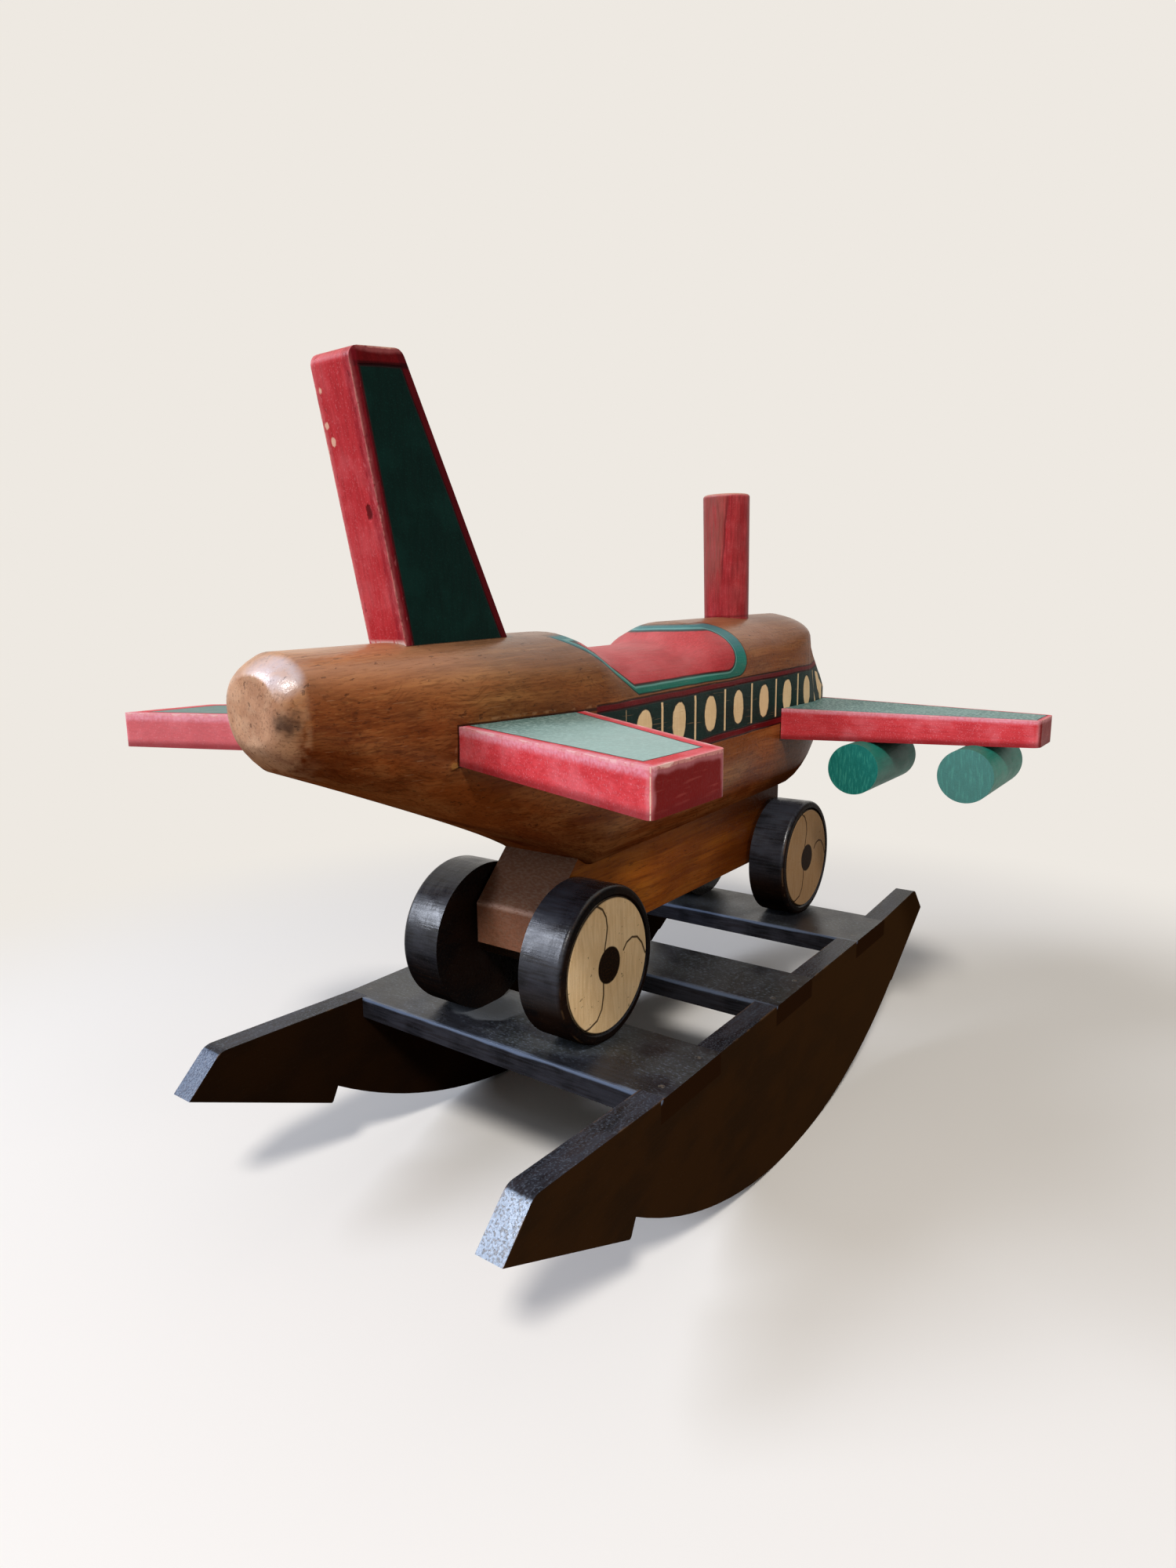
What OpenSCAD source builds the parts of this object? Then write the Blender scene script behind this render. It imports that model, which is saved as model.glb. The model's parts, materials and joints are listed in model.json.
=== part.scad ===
// Wooden rocking airplane: a carved airplane on four block wheels,
// standing on the planks of a two-runner rocker.
// Millimetres. X runs to the nose, Y to the port side, Z up from the floor.
// Lengths along the airplane are counted from the middle of the rocker.

/* [Rockers] */
// Width over the outer faces of the two rockers
rocker_span = 300; // [260:1:360]
// Thickness of each rocker board
rocker_t = 19; // [15:0.5:25]
// Radius of the running edge
rocker_r = 450; // [420:5:520]
// Depth of the rockers from the plank tops to the floor
rocker_depth = 140; // [132:1:160]
// Place of the lowest point of the running edge, forward of the middle
rocker_low_x = 9.5; // [0:0.5:14]
// Length of the flat worn on the running edge where the toy stands
worn_flat = 24; // [12:1:36]
// Reach of the rear tips behind the middle
rear_reach = 364; // [335:1:380]
// Reach of the front tips ahead of the middle
front_reach = 337; // [330:1:380]
// Rise of the tips over the plank tops
tip_rise = 5; // [0:1:15]
// Size of the 45 degree cut on each tip
tip_cut = 26; // [18:1:32]
// Rounding of the bend above that cut
tip_round = 12; // [4:1:16]
// Distance of each heel stop from the middle
heel_x = 247; // [240:1:256]
// Height of the rear heel stops above the floor
rear_heel_h = 64; // [58:1:66]
// Height of the front heel stops above the floor
front_heel_h = 65; // [58:1:66]

/* [Planks] */
// Thickness of the planks, let in flush with the rocker tops
plank_t = 16.5; // [14:0.5:22]
// Width of the rear plank
rear_plank_w = 80; // [70:1:90]
// Width of the middle plank
middle_plank_w = 70; // [55:1:85]
// Width of the front plank
front_plank_w = 78; // [70:1:90]
// Middle of the rear plank behind the middle of the rocker
rear_plank_x = 172; // [168:1:178]
// Middle of the middle plank behind the middle of the rocker
middle_plank_x = 5; // [0:1:15]
// Middle of the front plank ahead of the middle of the rocker
front_plank_x = 174; // [172:1:182]

/* [Wheels] */
// Diameter of the wheels
wheel_d = 115; // [106:1:124]
// Thickness of the wheels
wheel_t = 36; // [30:1:42]
// Diameter of the painted disc on the outer face
disc_d = 99; // [88:1:101]
// Depth of the sunk ring round the disc
disc_groove = 1.5; // [0.5:0.5:3]
// Rounding of the wheel's outer rim
rim_round = 4; // [2:0.5:6]
// Flat planed on each wheel where it stands on its plank
wheel_flat = 0.8; // [0.4:0.1:1.6]
// Gap between a wheel and the side of the keel
wheel_gap = 4; // [2:0.5:8]
// Diameter of the axles
axle_d = 26; // [20:1:30]
// Rear axle behind the middle
rear_axle_x = 160; // [155:1:170]
// Front axle ahead of the middle
front_axle_x = 192; // [182:1:196]

/* [Keel] */
// Width of the keel block
keel_w = 70; // [60:1:80]
// Height of the keel block above the axle line, at the middle
keel_h = 65; // [58:1:72]
// Rear end of the keel behind the middle
keel_rear = 177; // [175:1:190]
// Front end of the keel ahead of the middle
keel_front = 207; // [206:1:215]
// Length of the slope at the keel's rear top corner
keel_slope = 35; // [20:1:38]
// Height of the square end below that slope
keel_end_h = 31; // [24:1:36]

/* [Fuselage] */
// Width of the fuselage at the windows
body_w = 122; // [112:1:134]
// Height of the fuselage over the keel, at the middle
body_h = 172; // [164:1:180]
// Angle by which the fuselage lines rise to the nose
nose_up = 1.5; // [0:0.1:2.5]
// Reach of the tail cap behind the middle
tail_reach = 382; // [370:1:395]
// Reach of the nose ahead of the middle
nose_reach = 334; // [326:1:338]
// Width of the tail where the cap begins
tail_w = 68; // [60:1:80]
// Underside of the tail cap above the keel line
tail_lift = 102; // [94:1:112]
// Length of the rounded tail cap
cap_l = 16; // [12:1:24]
// Height of the rounded shoulder along the deck
shoulder_h = 46; // [38:1:54]
// Height of the rounded flank above the keel
flank_h = 66; // [56:1:74]
// Squareness of the rounded corners, 2 is an ellipse
roundness = 2.2; // [2:0.1:3]
// Where the underside starts to rise to the nose, ahead of the middle
nose_start = 209; // [209:1:224]
// Where the sides start to close to the nose, ahead of the middle
nose_taper = 156; // [150:1:176]
// Front end of the deck at the top of the windscreen, ahead of the middle
screen_start = 256; // [250:1:270]
// Height of the nose tip above the keel line
nose_tip_h = 96; // [86:1:98]

/* [Saddle] */
// Depth of the saddle below the deck
saddle_depth = 16; // [8:0.5:24]
// Rear end of the saddle behind the middle
saddle_rear = 144; // [138:1:150]
// Front end of the saddle ahead of the middle
saddle_front = 38; // [30:1:60]
// Length of each sloping end of the saddle
saddle_slope = 44; // [36:1:60]

/* [Wings] */
// Height of the wing tops above the keel line, at the middle
wing_h = 89; // [86:1:94]
// Rounding of the corners of the wings, stabilisers and fin, seen flat
corner_r = 7; // [3:0.5:12]
// Wing span over both tips
wing_span = 572; // [480:2:640]
// Thickness of the wings at the root
wing_root_t = 30; // [24:1:32]
// Thickness of the wings at the tip
wing_tip_t = 23; // [18:1:28]
// Chord of the wings at the root
wing_root_chord = 139; // [120:1:145]
// Chord of the wings at the tip
wing_tip_chord = 52; // [40:1:80]
// Trailing edge at the root, ahead of the middle
wing_x = 151; // [148:1:154]
// How far back the tip's trailing edge lies from the root's
wing_tip_x = 15; // [0:1:30]
// Half the distance between the roots inside the fuselage
wing_root_y = 40; // [36:1:44]

/* [Engines] */
// Diameter of the engines
engine_d = 46; // [40:1:48]
// Length of the engines
engine_l = 117; // [96:1:124]
// Rear ends of the engines ahead of the middle
engine_x = 135; // [128:1:142]
// Inner engines out from the centre line
inner_engine_y = 139; // [120:1:150]
// Outer engines in from the wing tips
outer_engine_in = 50; // [40:1:66]
// Flat planed on top of each engine
engine_flat = 0.6; // [0.5:0.1:2.4]
// Rounding of the engines' front ends
engine_round = 7; // [3:0.5:12]

/* [Tail] */
// Height of the stabiliser tops above the keel line, at the middle
stabiliser_h = 115; // [110:1:120]
// Span over both stabiliser tips
stabiliser_span = 440; // [380:2:480]
// Thickness of the stabilisers
stabiliser_t = 24; // [18:1:28]
// Chord of the stabilisers at the root
stabiliser_root_chord = 123; // [100:1:128]
// Chord of the stabilisers at the tip
stabiliser_tip_chord = 69; // [50:1:76]
// Trailing edge at the root, behind the middle
stabiliser_x = 268; // [262:1:276]
// How far back the tip's trailing edge lies from the root's
stabiliser_sweep = 69; // [50:1:85]
// Half the distance between the stabiliser roots inside the fuselage
stabiliser_root_y = 32; // [28:1:35]
// Height of the fin above the deck
fin_h = 165; // [130:1:190]
// Thickness of the fin
fin_t = 32; // [24:1:36]
// Foot of the fin along the deck
fin_foot = 94; // [80:1:98]
// Top edge of the fin
fin_top = 40; // [28:1:50]
// Rear of the fin's foot behind the middle
fin_x = 284; // [278:1:290]
// How far back the fin's top lies from its foot
fin_rake = 34; // [20:1:48]
// Depth of the seat that lets the fin into the deck
fin_seat = 5; // [4:0.5:8]

/* [Handle] */
// Diameter of the handle peg
peg_d = 42; // [34:1:44]
// Height of the peg above the deck
peg_h = 114; // [90:1:140]
// How much wider the peg is at its top than at its foot
peg_flare = 2; // [0:0.5:3]
// Angle by which the peg leans back
peg_lean = 2; // [0:0.5:4]
// Depth of the peg inside the fuselage
peg_depth = 58; // [40:1:64]
// Peg ahead of the middle
peg_x = 155; // [140:1:170]
// Rounding of the peg's top edge
peg_round = 3; // [1:0.5:6]

/* [Fastenings] */
// Diameter of the dowels in the fin, wings and stabilisers
dowel_d = 12; // [8:1:14]
// Length of those dowels
dowel_l = 56; // [40:1:60]
// Diameter of the engine dowels
engine_dowel_d = 8; // [6:1:10]
// Length of the engine dowels
engine_dowel_l = 32; // [24:1:34]
// Room round a dowel or shank in its hole, on the radius
glue_gap = 0.1; // [0.05:0.05:0.3]
// Room left for glue at the end of each dowel hole
glue_well = 1.5; // [0.5:0.5:3]
// Diameter of the wood screws
screw_d = 5; // [4:0.5:6]
// Diameter of the nails in the plank ends
nail_d = 3; // [2:0.5:4]
// Length of the nails
nail_l = 40; // [30:1:50]

/* [Hidden] */
$fn = 96;
port = 1;
starboard = -1;
far = 1000;

// The box round the whole toy is centred on the origin
x_low = -max(tail_reach, rear_reach);
x_high = max(nose_reach, front_reach);
x_shift = -(x_low + x_high) / 2;

// Heights that follow from one another, from the floor up
rise = tan(nose_up);
axle_z = rocker_depth + wheel_d / 2 - wheel_flat;
keel_z = axle_z + keel_h;
wheel_y = keel_w / 2 + wheel_gap;
wheel_out_y = wheel_y + wheel_t;
wheel_mid_y = wheel_y + wheel_t / 2;
wing_top = keel_z + wing_h;
stabiliser_top = keel_z + stabiliser_h;
outer_engine_y = wing_span / 2 - outer_engine_in;

// Fastenings
screw_head_d = screw_d * 2;
screw_head_h = screw_d * 0.6;
keel_screw_deck = 34;
keel_screw_sink = 10;
keel_screws_x = [-105, 15, 130];
axle_screw_grip = 22;
wheel_screw_grip = 34;
nail_head_d = nail_d * 2;
nail_head_h = 1.2;
nail_sink = 1.6;
nail_side = 0.3;
dowel_spread = 0.22;

// Length of the slope from each heel stop up to the running edge
heel_run = 6;
worn_depth = rocker_r - sqrt(rocker_r * rocker_r - worn_flat * worn_flat / 4);
run_centre_z = rocker_r - worn_depth;

function ease(t) = let(c = min(1, max(0, t))) c * c * (3 - 2 * c);
function mix(a, b, t) = a + (b - a) * min(1, max(0, t));
function quarter(u, p) = pow(max(0, 1 - pow(min(1, u), p)), 1 / 2);
function deck_z(x) = keel_z + body_h + rise * x;
function belly_z(x) = keel_z + rise * x;

// Top of the fuselage with the saddle and the windscreen
function saddle_in(x) = ease((x + saddle_rear) / saddle_slope);
function saddle_out(x) = ease((x - saddle_front + saddle_slope) / saddle_slope);
screen_foot_z = keel_z + nose_tip_h + 2;
function top_z(x) = mix(
    deck_z(x) - saddle_depth * (saddle_in(x) - saddle_out(x)),
    screen_foot_z, (x - screen_start) / (nose_reach - screen_start));

// How far a place lies along the tail and the nose, 0 to 1
keel_top = keel_rear - keel_slope;
tail_start = keel_top - 10;
width_start = 125;
function tail_t(x) = max(0, (-x - tail_start) / (tail_reach - tail_start));
function width_t(x) = max(0, (-x - width_start) / (tail_reach - cap_l - width_start));
function nose_t(x) = min(1, max(0, (x - nose_start) / (nose_reach - nose_start)));
function cap_t(x) = max(0, (-x - tail_reach + cap_l) / cap_l);
function cap_scale(x) = 1 - 0.42 * mix(1 - quarter(cap_t(x), 2), cap_t(x), 0.45);

function bottom_z(x) =
    x < 0 ? mix(belly_z(x), keel_z + tail_lift, pow(tail_t(x), 0.87))
          : keel_z + nose_tip_h
            - (nose_tip_h - rise * min(x, nose_start)) * quarter(nose_t(x), 1.38);

// Each level of the nose runs forward to its own reach: the windscreen lies back, the sides wrap round
function reach(x, z) =
    mix(nose_reach, screen_start, max(0, (z - screen_foot_z) / (deck_z(x) - screen_foot_z)));
function closing(x, z) = quarter(max(0, x - nose_taper) / (reach(x, z) - nose_taper), 3.3);
function half_w(x, z) = mix(body_w / 2, tail_w / 2, pow(width_t(x), 1.15)) * closing(x, z);
function flat_w(x) =
    mix(keel_w / 2, 8, tail_t(x) * 1.3) * quarter(nose_t(x), 2.2) * closing(x, bottom_z(x));
function to_nose(x) = ease((x - 150) / 90);
function shoulder(x) = mix(mix(shoulder_h, 30, tail_t(x)), 22, to_nose(x));
function flank(x) = mix(mix(flank_h, 34, tail_t(x)), 78, to_nose(x));

// One ring of the hull: deck shoulder, side, flank and flat belly
ring_steps = 12;
function ring(x) =
    let(
        s = cap_scale(x),
        mid = (top_z(x) + bottom_z(x)) / 2,
        high = mid + (top_z(x) - mid) * s,
        low = mid + (bottom_z(x) - mid) * s,
        f = flat_w(x) * s,
        fit = min(1, 0.98 * (top_z(x) - bottom_z(x)) / (shoulder(x) + flank(x))),
        up = shoulder(x) * fit * s,
        dn = flank(x) * fit * s,
        e = 2 / roundness,
        side = [for (lower = [false, true]) for (i = [0 : ring_steps])
            let(
                a = 90 * i / ring_steps,
                z = lower ? low + dn - dn * pow(sin(a), e) : high - up + up * pow(cos(a), e),
                w = half_w(x, z) * s
            )
            [lower ? f + (w - f) * pow(cos(a), e) : w * pow(sin(a), e), z]],
        n = len(side)
    )
    concat(
        [for (p = side) [x, p[0], p[1]]],
        [for (i = [n - 1 : -1 : 1]) [x, -side[i][0], side[i][1]]]
    );

// Stations along the hull, closer together where the form turns
cap_steps = 5;
tail_steps = 13;
mid_steps = 22;
nose_steps = 13;
tail_l = tail_reach - cap_l - keel_top;
mid_l = tail_start + nose_start;
nose_l = nose_reach - nose_start;
stations = concat(
    [for (i = [0 : cap_steps - 1]) -tail_reach + cap_l * (1 - cos(90 * i / cap_steps))],
    [for (i = [0 : tail_steps]) -keel_top - tail_l * (1 - i / tail_steps)],
    [for (i = [0 : mid_steps - 1]) -tail_start + mid_l * i / mid_steps],
    [for (i = [0 : nose_steps]) nose_start + nose_l * sin(87 * i / nose_steps)]
);

// Corners of a flat outline rounded with arcs
round_steps = 6;
function unit(v) = v / norm(v);
function turn(a) = a > 180 ? a - 360 : a < -180 ? a + 360 : a;
function corner(a, p, b, r) =
    r == 0 ? [p] :
    let(
        u = unit(a - p),
        v = unit(b - p),
        half = acos(u * v) / 2,
        c = p + unit(u + v) * r / sin(half),
        s = u * r / tan(half) + p - c,
        e = v * r / tan(half) + p - c,
        start = atan2(s[1], s[0]),
        sweep = turn(atan2(e[1], e[0]) - start)
    )
    [for (i = [0 : round_steps])
        let(w = start + sweep * i / round_steps) c + r * [cos(w), sin(w)]];
function rounded(points, radii) =
    let(n = len(points))
    [for (i = [0 : n - 1])
        each corner(points[(i + n - 1) % n], points[i], points[(i + 1) % n], radii[i])];

// A closed skin over rings that have the same number of points
module skin(rings) {
    n = len(rings[0]);
    last = len(rings) - 1;
    points = [for (r = rings) for (p = r) p];
    sides = [for (k = [0 : last - 1]) for (i = [0 : n - 1])
        let(a = k * n + i, b = k * n + (i + 1) % n)
        each [[a, a + n, b + n], [a, b + n, b]]];
    back = [for (i = [1 : n - 2]) [0, i, i + 1]];
    front = [for (i = [1 : n - 2]) [last * n, last * n + i + 1, last * n + i]];
    polyhedron(points = points, faces = concat(sides, back, front), convexity = 6);
}

// Moves a piece from the rocker's middle to the origin of the whole toy
module placed() {
    translate([x_shift, 0, 0]) children();
}

// A plate standing in the XZ plane, between two Y places
module upright(points, y0, y1) {
    translate([0, y1, 0]) rotate([90, 0, 0]) linear_extrude(height = y1 - y0) polygon(points);
}

// A cylinder along +Y from a point
module along_y(d, l, x, y, z) {
    translate([x, y, z]) rotate([-90, 0, 0]) cylinder(d = d, h = l);
}

// A wood screw pointing up, its head's face at z
module screw_up(x, y, z, l) {
    translate([x, y, z]) {
        cylinder(d1 = screw_head_d, d2 = screw_d, h = screw_head_h);
        cylinder(d = screw_d, h = l);
    }
}

// Planks and rockers

function plank_at(i) = [-rear_plank_x, -middle_plank_x, front_plank_x][i];
function plank_wide(i) = [rear_plank_w, middle_plank_w, front_plank_w][i];

module plank_blank(i) {
    translate([plank_at(i) - plank_wide(i) / 2, -rocker_span / 2, rocker_depth - plank_t])
        cube([plank_wide(i), rocker_span, plank_t]);
}

module nail(x, y) {
    translate([x, y, rocker_depth - nail_sink - nail_head_h]) cylinder(d = nail_head_d, h = nail_head_h);
    translate([x, y, rocker_depth - nail_sink - nail_l]) cylinder(d = nail_d, h = nail_l - nail_head_h / 2);
}

// Two nails hold each end of each plank to the rocker below it
module nails() {
    for (i = [0 : 2], end = [-1, 1], side = [-nail_side, nail_side])
        nail(plank_at(i) + side * plank_wide(i), end * (rocker_span - rocker_t) / 2);
}

module wheel_screw_set(x) {
    for (end = [-1, 1])
        screw_up(x, end * wheel_mid_y, rocker_depth - plank_t, plank_t + wheel_screw_grip);
}

module plank(i) {
    difference() {
        plank_blank(i);
        nails();
        wheel_screw_set(-rear_axle_x);
        wheel_screw_set(front_axle_x);
    }
}

// One end of a rocker, drawn towards +X: tip, underside and heel stop
module rocker_end(reach, low_x, heel_h) {
    edge = heel_x - heel_run;
    edge_z = run_centre_z - sqrt(rocker_r * rocker_r - pow(edge - low_x, 2));
    upright(rounded([
        [0, rocker_depth],
        [heel_x - 40, rocker_depth],
        [reach - tip_cut, rocker_depth + tip_rise],
        [reach, rocker_depth + tip_rise - tip_cut],
        [heel_x, heel_h],
        [edge - heel_run / 2, edge_z + max(0, edge_z - heel_h) / 2],
        [heel_x - 60, rocker_depth - 30],
        [0, rocker_depth - 30]
    ], [0, 0, tip_round, 0, 2, 0, 0, 0]), 0, rocker_t);
}

module rocker(side) {
    y0 = side > 0 ? rocker_span / 2 - rocker_t : -rocker_span / 2;
    difference() {
        translate([0, y0, 0]) {
            rocker_end(front_reach, rocker_low_x, front_heel_h);
            mirror([1, 0, 0]) rocker_end(rear_reach, -rocker_low_x, rear_heel_h);
            intersection() {
                translate([rocker_low_x, 0, run_centre_z]) rotate([-90, 0, 0])
                    cylinder(r = rocker_r, h = rocker_t, $fn = 180);
                translate([-heel_x, 0, 0]) cube([2 * heel_x, rocker_t, rocker_depth]);
            }
        }
        for (i = [0 : 2]) plank_blank(i);
        nails();
    }
}

// Wheels and axles

module axle_blank(x, l, room) {
    along_y(axle_d + 2 * room, l, x, -l / 2, axle_z);
}

module axle(x) {
    difference() {
        axle_blank(x, 2 * wheel_out_y, 0);
        axle_screw(x);
    }
}

module axle_screw(x) {
    screw_up(x, 0, axle_z - axle_d / 2 + 1, axle_d - 1 + axle_screw_grip);
}

// Rounded block with a sunk ring round the painted disc, standing on a flat
module wheel(x, side) {
    r = wheel_d / 2;
    difference() {
        translate([x, side * wheel_y, axle_z]) rotate([-90 * side, 0, 0]) {
            rotate_extrude($fn = 120) difference() {
                union() {
                    square([r, wheel_t - rim_round]);
                    square([r - rim_round, wheel_t]);
                    translate([r - rim_round, wheel_t - rim_round]) circle(r = rim_round, $fn = 48);
                }
                translate([disc_d / 2, wheel_t]) rotate(45) square(disc_groove * 1.414, center = true);
            }
        }
        axle_blank(x, far, glue_gap);
        translate([x - r, -far / 2, rocker_depth - far]) cube([2 * r, far, far]);
        wheel_screw_set(x);
    }
}

// Keel

module keel_screw(x) {
    z = axle_z + keel_screw_sink;
    screw_up(x, 0, z, keel_h - keel_screw_sink + keel_screw_deck);
}

module keel_blank() {
    upright([
        [-keel_rear, axle_z],
        [keel_front, axle_z],
        [keel_front, belly_z(keel_front)],
        [-tail_start, belly_z(-tail_start)],
        [-keel_top, bottom_z(-keel_top)],
        [-keel_rear, axle_z + keel_end_h]
    ], -keel_w / 2, keel_w / 2);
}

// Fuselage and what is let into it

module wing_blank(side) {
    mirror([0, side < 0 ? 1 : 0, 0]) intersection() {
        translate([0, 0, wing_top - far / 2]) linear_extrude(height = far) polygon(rounded([
            [wing_x, wing_root_y],
            [wing_x + wing_root_chord, wing_root_y],
            [wing_x + wing_tip_x + wing_tip_chord, wing_span / 2],
            [wing_x + wing_tip_x, wing_span / 2]
        ], [0, 0, corner_r, corner_r]));
        rotate([90, 0, 90]) linear_extrude(height = far) polygon([
            [wing_root_y, wing_top - wing_root_t],
            [wing_span / 2, wing_top - wing_tip_t],
            [wing_span / 2, wing_top],
            [wing_root_y, wing_top]
        ]);
    }
}

module stabiliser_blank(side) {
    mirror([0, side < 0 ? 1 : 0, 0])
        translate([0, 0, stabiliser_top - stabiliser_t]) linear_extrude(height = stabiliser_t)
            polygon(rounded([
                [-stabiliser_x, stabiliser_root_y],
                [-stabiliser_x + stabiliser_root_chord, stabiliser_root_y],
                [-stabiliser_x - stabiliser_sweep + stabiliser_tip_chord, stabiliser_span / 2],
                [-stabiliser_x - stabiliser_sweep, stabiliser_span / 2]
            ], [0, 0, corner_r, 3]));
}

fin_foot_z = deck_z(-fin_x) - fin_seat;
fin_top_z = deck_z(-fin_x) + fin_h;

module fin_blank() {
    upright(rounded([
        [-fin_x, fin_foot_z],
        [-fin_x + fin_foot, fin_foot_z],
        [-fin_x - fin_rake + fin_top, fin_top_z],
        [-fin_x - fin_rake, fin_top_z - 6]
    ], [0, 0, corner_r, corner_r]), -fin_t / 2, fin_t / 2);
}

peg_foot_z = deck_z(peg_x) - peg_depth;
peg_top_z = deck_z(peg_x) + peg_h;

module peg_blank(room) {
    foot = peg_d / 2 + room;
    top = foot + peg_flare / 2;
    h = peg_top_z - peg_foot_z;
    translate([peg_x, 0, peg_foot_z]) rotate([0, -peg_lean, 0]) rotate_extrude($fn = 72) polygon(concat(
        [[0, 0], [foot, 0]],
        [for (a = [0 : 15 : 90]) [top - peg_round * (1 - cos(a)), h - peg_round * (1 - sin(a))]],
        [[0, h]]
    ));
}

// Dowels: a hole has room round its dowel and a glue well past one end

module dowel(d, l, hole) {
    room = hole ? glue_gap : 0;
    well = hole ? glue_well : 0;
    cylinder(d = d + 2 * room, h = l + well);
}

module fin_dowel_set(hole) {
    for (t = [dowel_spread, 1 - dowel_spread])
        translate([-fin_x + fin_foot * t, 0, fin_foot_z - dowel_l / 2]) dowel(dowel_d, dowel_l, hole);
}

// Two dowels along Y at the root of a board, at shares of its chord
module root_dowels(side, hole, x, chord, y, z) {
    mirror([0, side < 0 ? 1 : 0, 0])
        for (t = [dowel_spread, 0.94 - dowel_spread])
            translate([x + chord * t, y, z]) rotate([-90, 0, 0]) dowel(dowel_d, dowel_l, hole);
}

module stabiliser_dowel_pair(side, hole) {
    root_dowels(side, hole, -stabiliser_x, stabiliser_root_chord - 12,
        stabiliser_root_y - dowel_l * 0.3, stabiliser_top - stabiliser_t / 2);
}

module wing_dowel_pair(side, hole) {
    root_dowels(side, hole, wing_x, wing_root_chord,
        wing_root_y - dowel_l / 2, wing_top - wing_root_t / 2 + 1);
}

// Underside of a wing at a distance from the centre line
function wing_under(y) = wing_top - mix(wing_root_t, wing_tip_t,
    (y - wing_root_y) / (wing_span / 2 - wing_root_y));
function engine_z(y) = wing_under(y) - engine_d / 2 + engine_flat;

module engine_dowel_pair(side, y, hole) {
    for (t = [0.36, 0.64])
        translate([engine_x + engine_l * t, side * y, wing_under(y) - engine_dowel_l / 2])
            dowel(engine_dowel_d, engine_dowel_l, hole);
}

module engine(side, y) {
    r = engine_d / 2;
    difference() {
        translate([engine_x, side * y, engine_z(y)]) rotate([0, 90, 0]) rotate_extrude($fn = 72) union() {
            square([r, engine_l - engine_round]);
            square([r - engine_round, engine_l]);
            translate([r - engine_round, engine_l - engine_round]) circle(r = engine_round, $fn = 48);
        }
        wing_blank(side);
        engine_dowel_pair(side, y, true);
    }
}

module wing(side) {
    difference() {
        wing_blank(side);
        wing_dowel_pair(side, true);
        engine_dowel_pair(side, inner_engine_y, true);
        engine_dowel_pair(side, outer_engine_y, true);
    }
}

module stabiliser(side) {
    difference() {
        stabiliser_blank(side);
        stabiliser_dowel_pair(side, true);
    }
}

// One module for each piece or set of like pieces

module fuselage() {
    color("sienna") placed() difference() {
        skin([for (x = stations) ring(x)]);
        fin_blank();
        fin_dowel_set(true);
        peg_blank(glue_gap);
        for (side = [port, starboard]) {
            wing_blank(side);
            wing_dowel_pair(side, true);
            stabiliser_blank(side);
            stabiliser_dowel_pair(side, true);
        }
        for (x = keel_screws_x) keel_screw(x);
    }
}

module keel_block() {
    color("saddlebrown") placed() difference() {
        keel_blank();
        axle_blank(-rear_axle_x, far, 0);
        axle_blank(front_axle_x, far, 0);
        axle_screw(-rear_axle_x);
        axle_screw(front_axle_x);
        for (x = keel_screws_x) {
            keel_screw(x);
            translate([x, 0, axle_z - 1]) cylinder(d = screw_head_d + 2, h = keel_screw_sink + 1);
        }
    }
}

module handle_peg() { color("firebrick") placed() peg_blank(0); }
module tail_fin() { color("firebrick") placed() difference() { fin_blank(); fin_dowel_set(true); } }
module left_stabiliser() { color("firebrick") placed() stabiliser(port); }
module right_stabiliser() { color("firebrick") placed() stabiliser(starboard); }
module left_wing() { color("firebrick") placed() wing(port); }
module right_wing() { color("firebrick") placed() wing(starboard); }
module left_outer_engine() { color("seagreen") placed() engine(port, outer_engine_y); }
module left_inner_engine() { color("seagreen") placed() engine(port, inner_engine_y); }
module right_inner_engine() { color("seagreen") placed() engine(starboard, inner_engine_y); }
module right_outer_engine() { color("seagreen") placed() engine(starboard, outer_engine_y); }
module front_left_wheel() { color("black") placed() wheel(front_axle_x, port); }
module front_right_wheel() { color("black") placed() wheel(front_axle_x, starboard); }
module rear_left_wheel() { color("black") placed() wheel(-rear_axle_x, port); }
module rear_right_wheel() { color("black") placed() wheel(-rear_axle_x, starboard); }
module front_axle() { color("black") placed() axle(front_axle_x); }
module rear_axle() { color("black") placed() axle(-rear_axle_x); }
module left_rocker() { color("#20140a") placed() rocker(port); }
module right_rocker() { color("#20140a") placed() rocker(starboard); }
module rear_plank() { color("#26262a") placed() plank(0); }
module middle_plank() { color("#26262a") placed() plank(1); }
module front_plank() { color("#26262a") placed() plank(2); }
module fin_dowels() { color("burlywood") placed() fin_dowel_set(false); }

module stabiliser_dowels() {
    color("burlywood") placed() for (side = [port, starboard]) stabiliser_dowel_pair(side, false);
}

module wing_dowels() {
    color("burlywood") placed() for (side = [port, starboard]) wing_dowel_pair(side, false);
}

module engine_dowels() {
    color("burlywood") placed() for (side = [port, starboard], y = [inner_engine_y, outer_engine_y])
        engine_dowel_pair(side, y, false);
}

module keel_screws() { color("silver") placed() for (x = keel_screws_x) keel_screw(x); }

module axle_screws() {
    color("silver") placed() for (x = [-rear_axle_x, front_axle_x]) axle_screw(x);
}

module wheel_screws() {
    color("silver") placed() for (x = [-rear_axle_x, front_axle_x]) wheel_screw_set(x);
}

module plank_nails() { color("silver") placed() nails(); }

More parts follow.
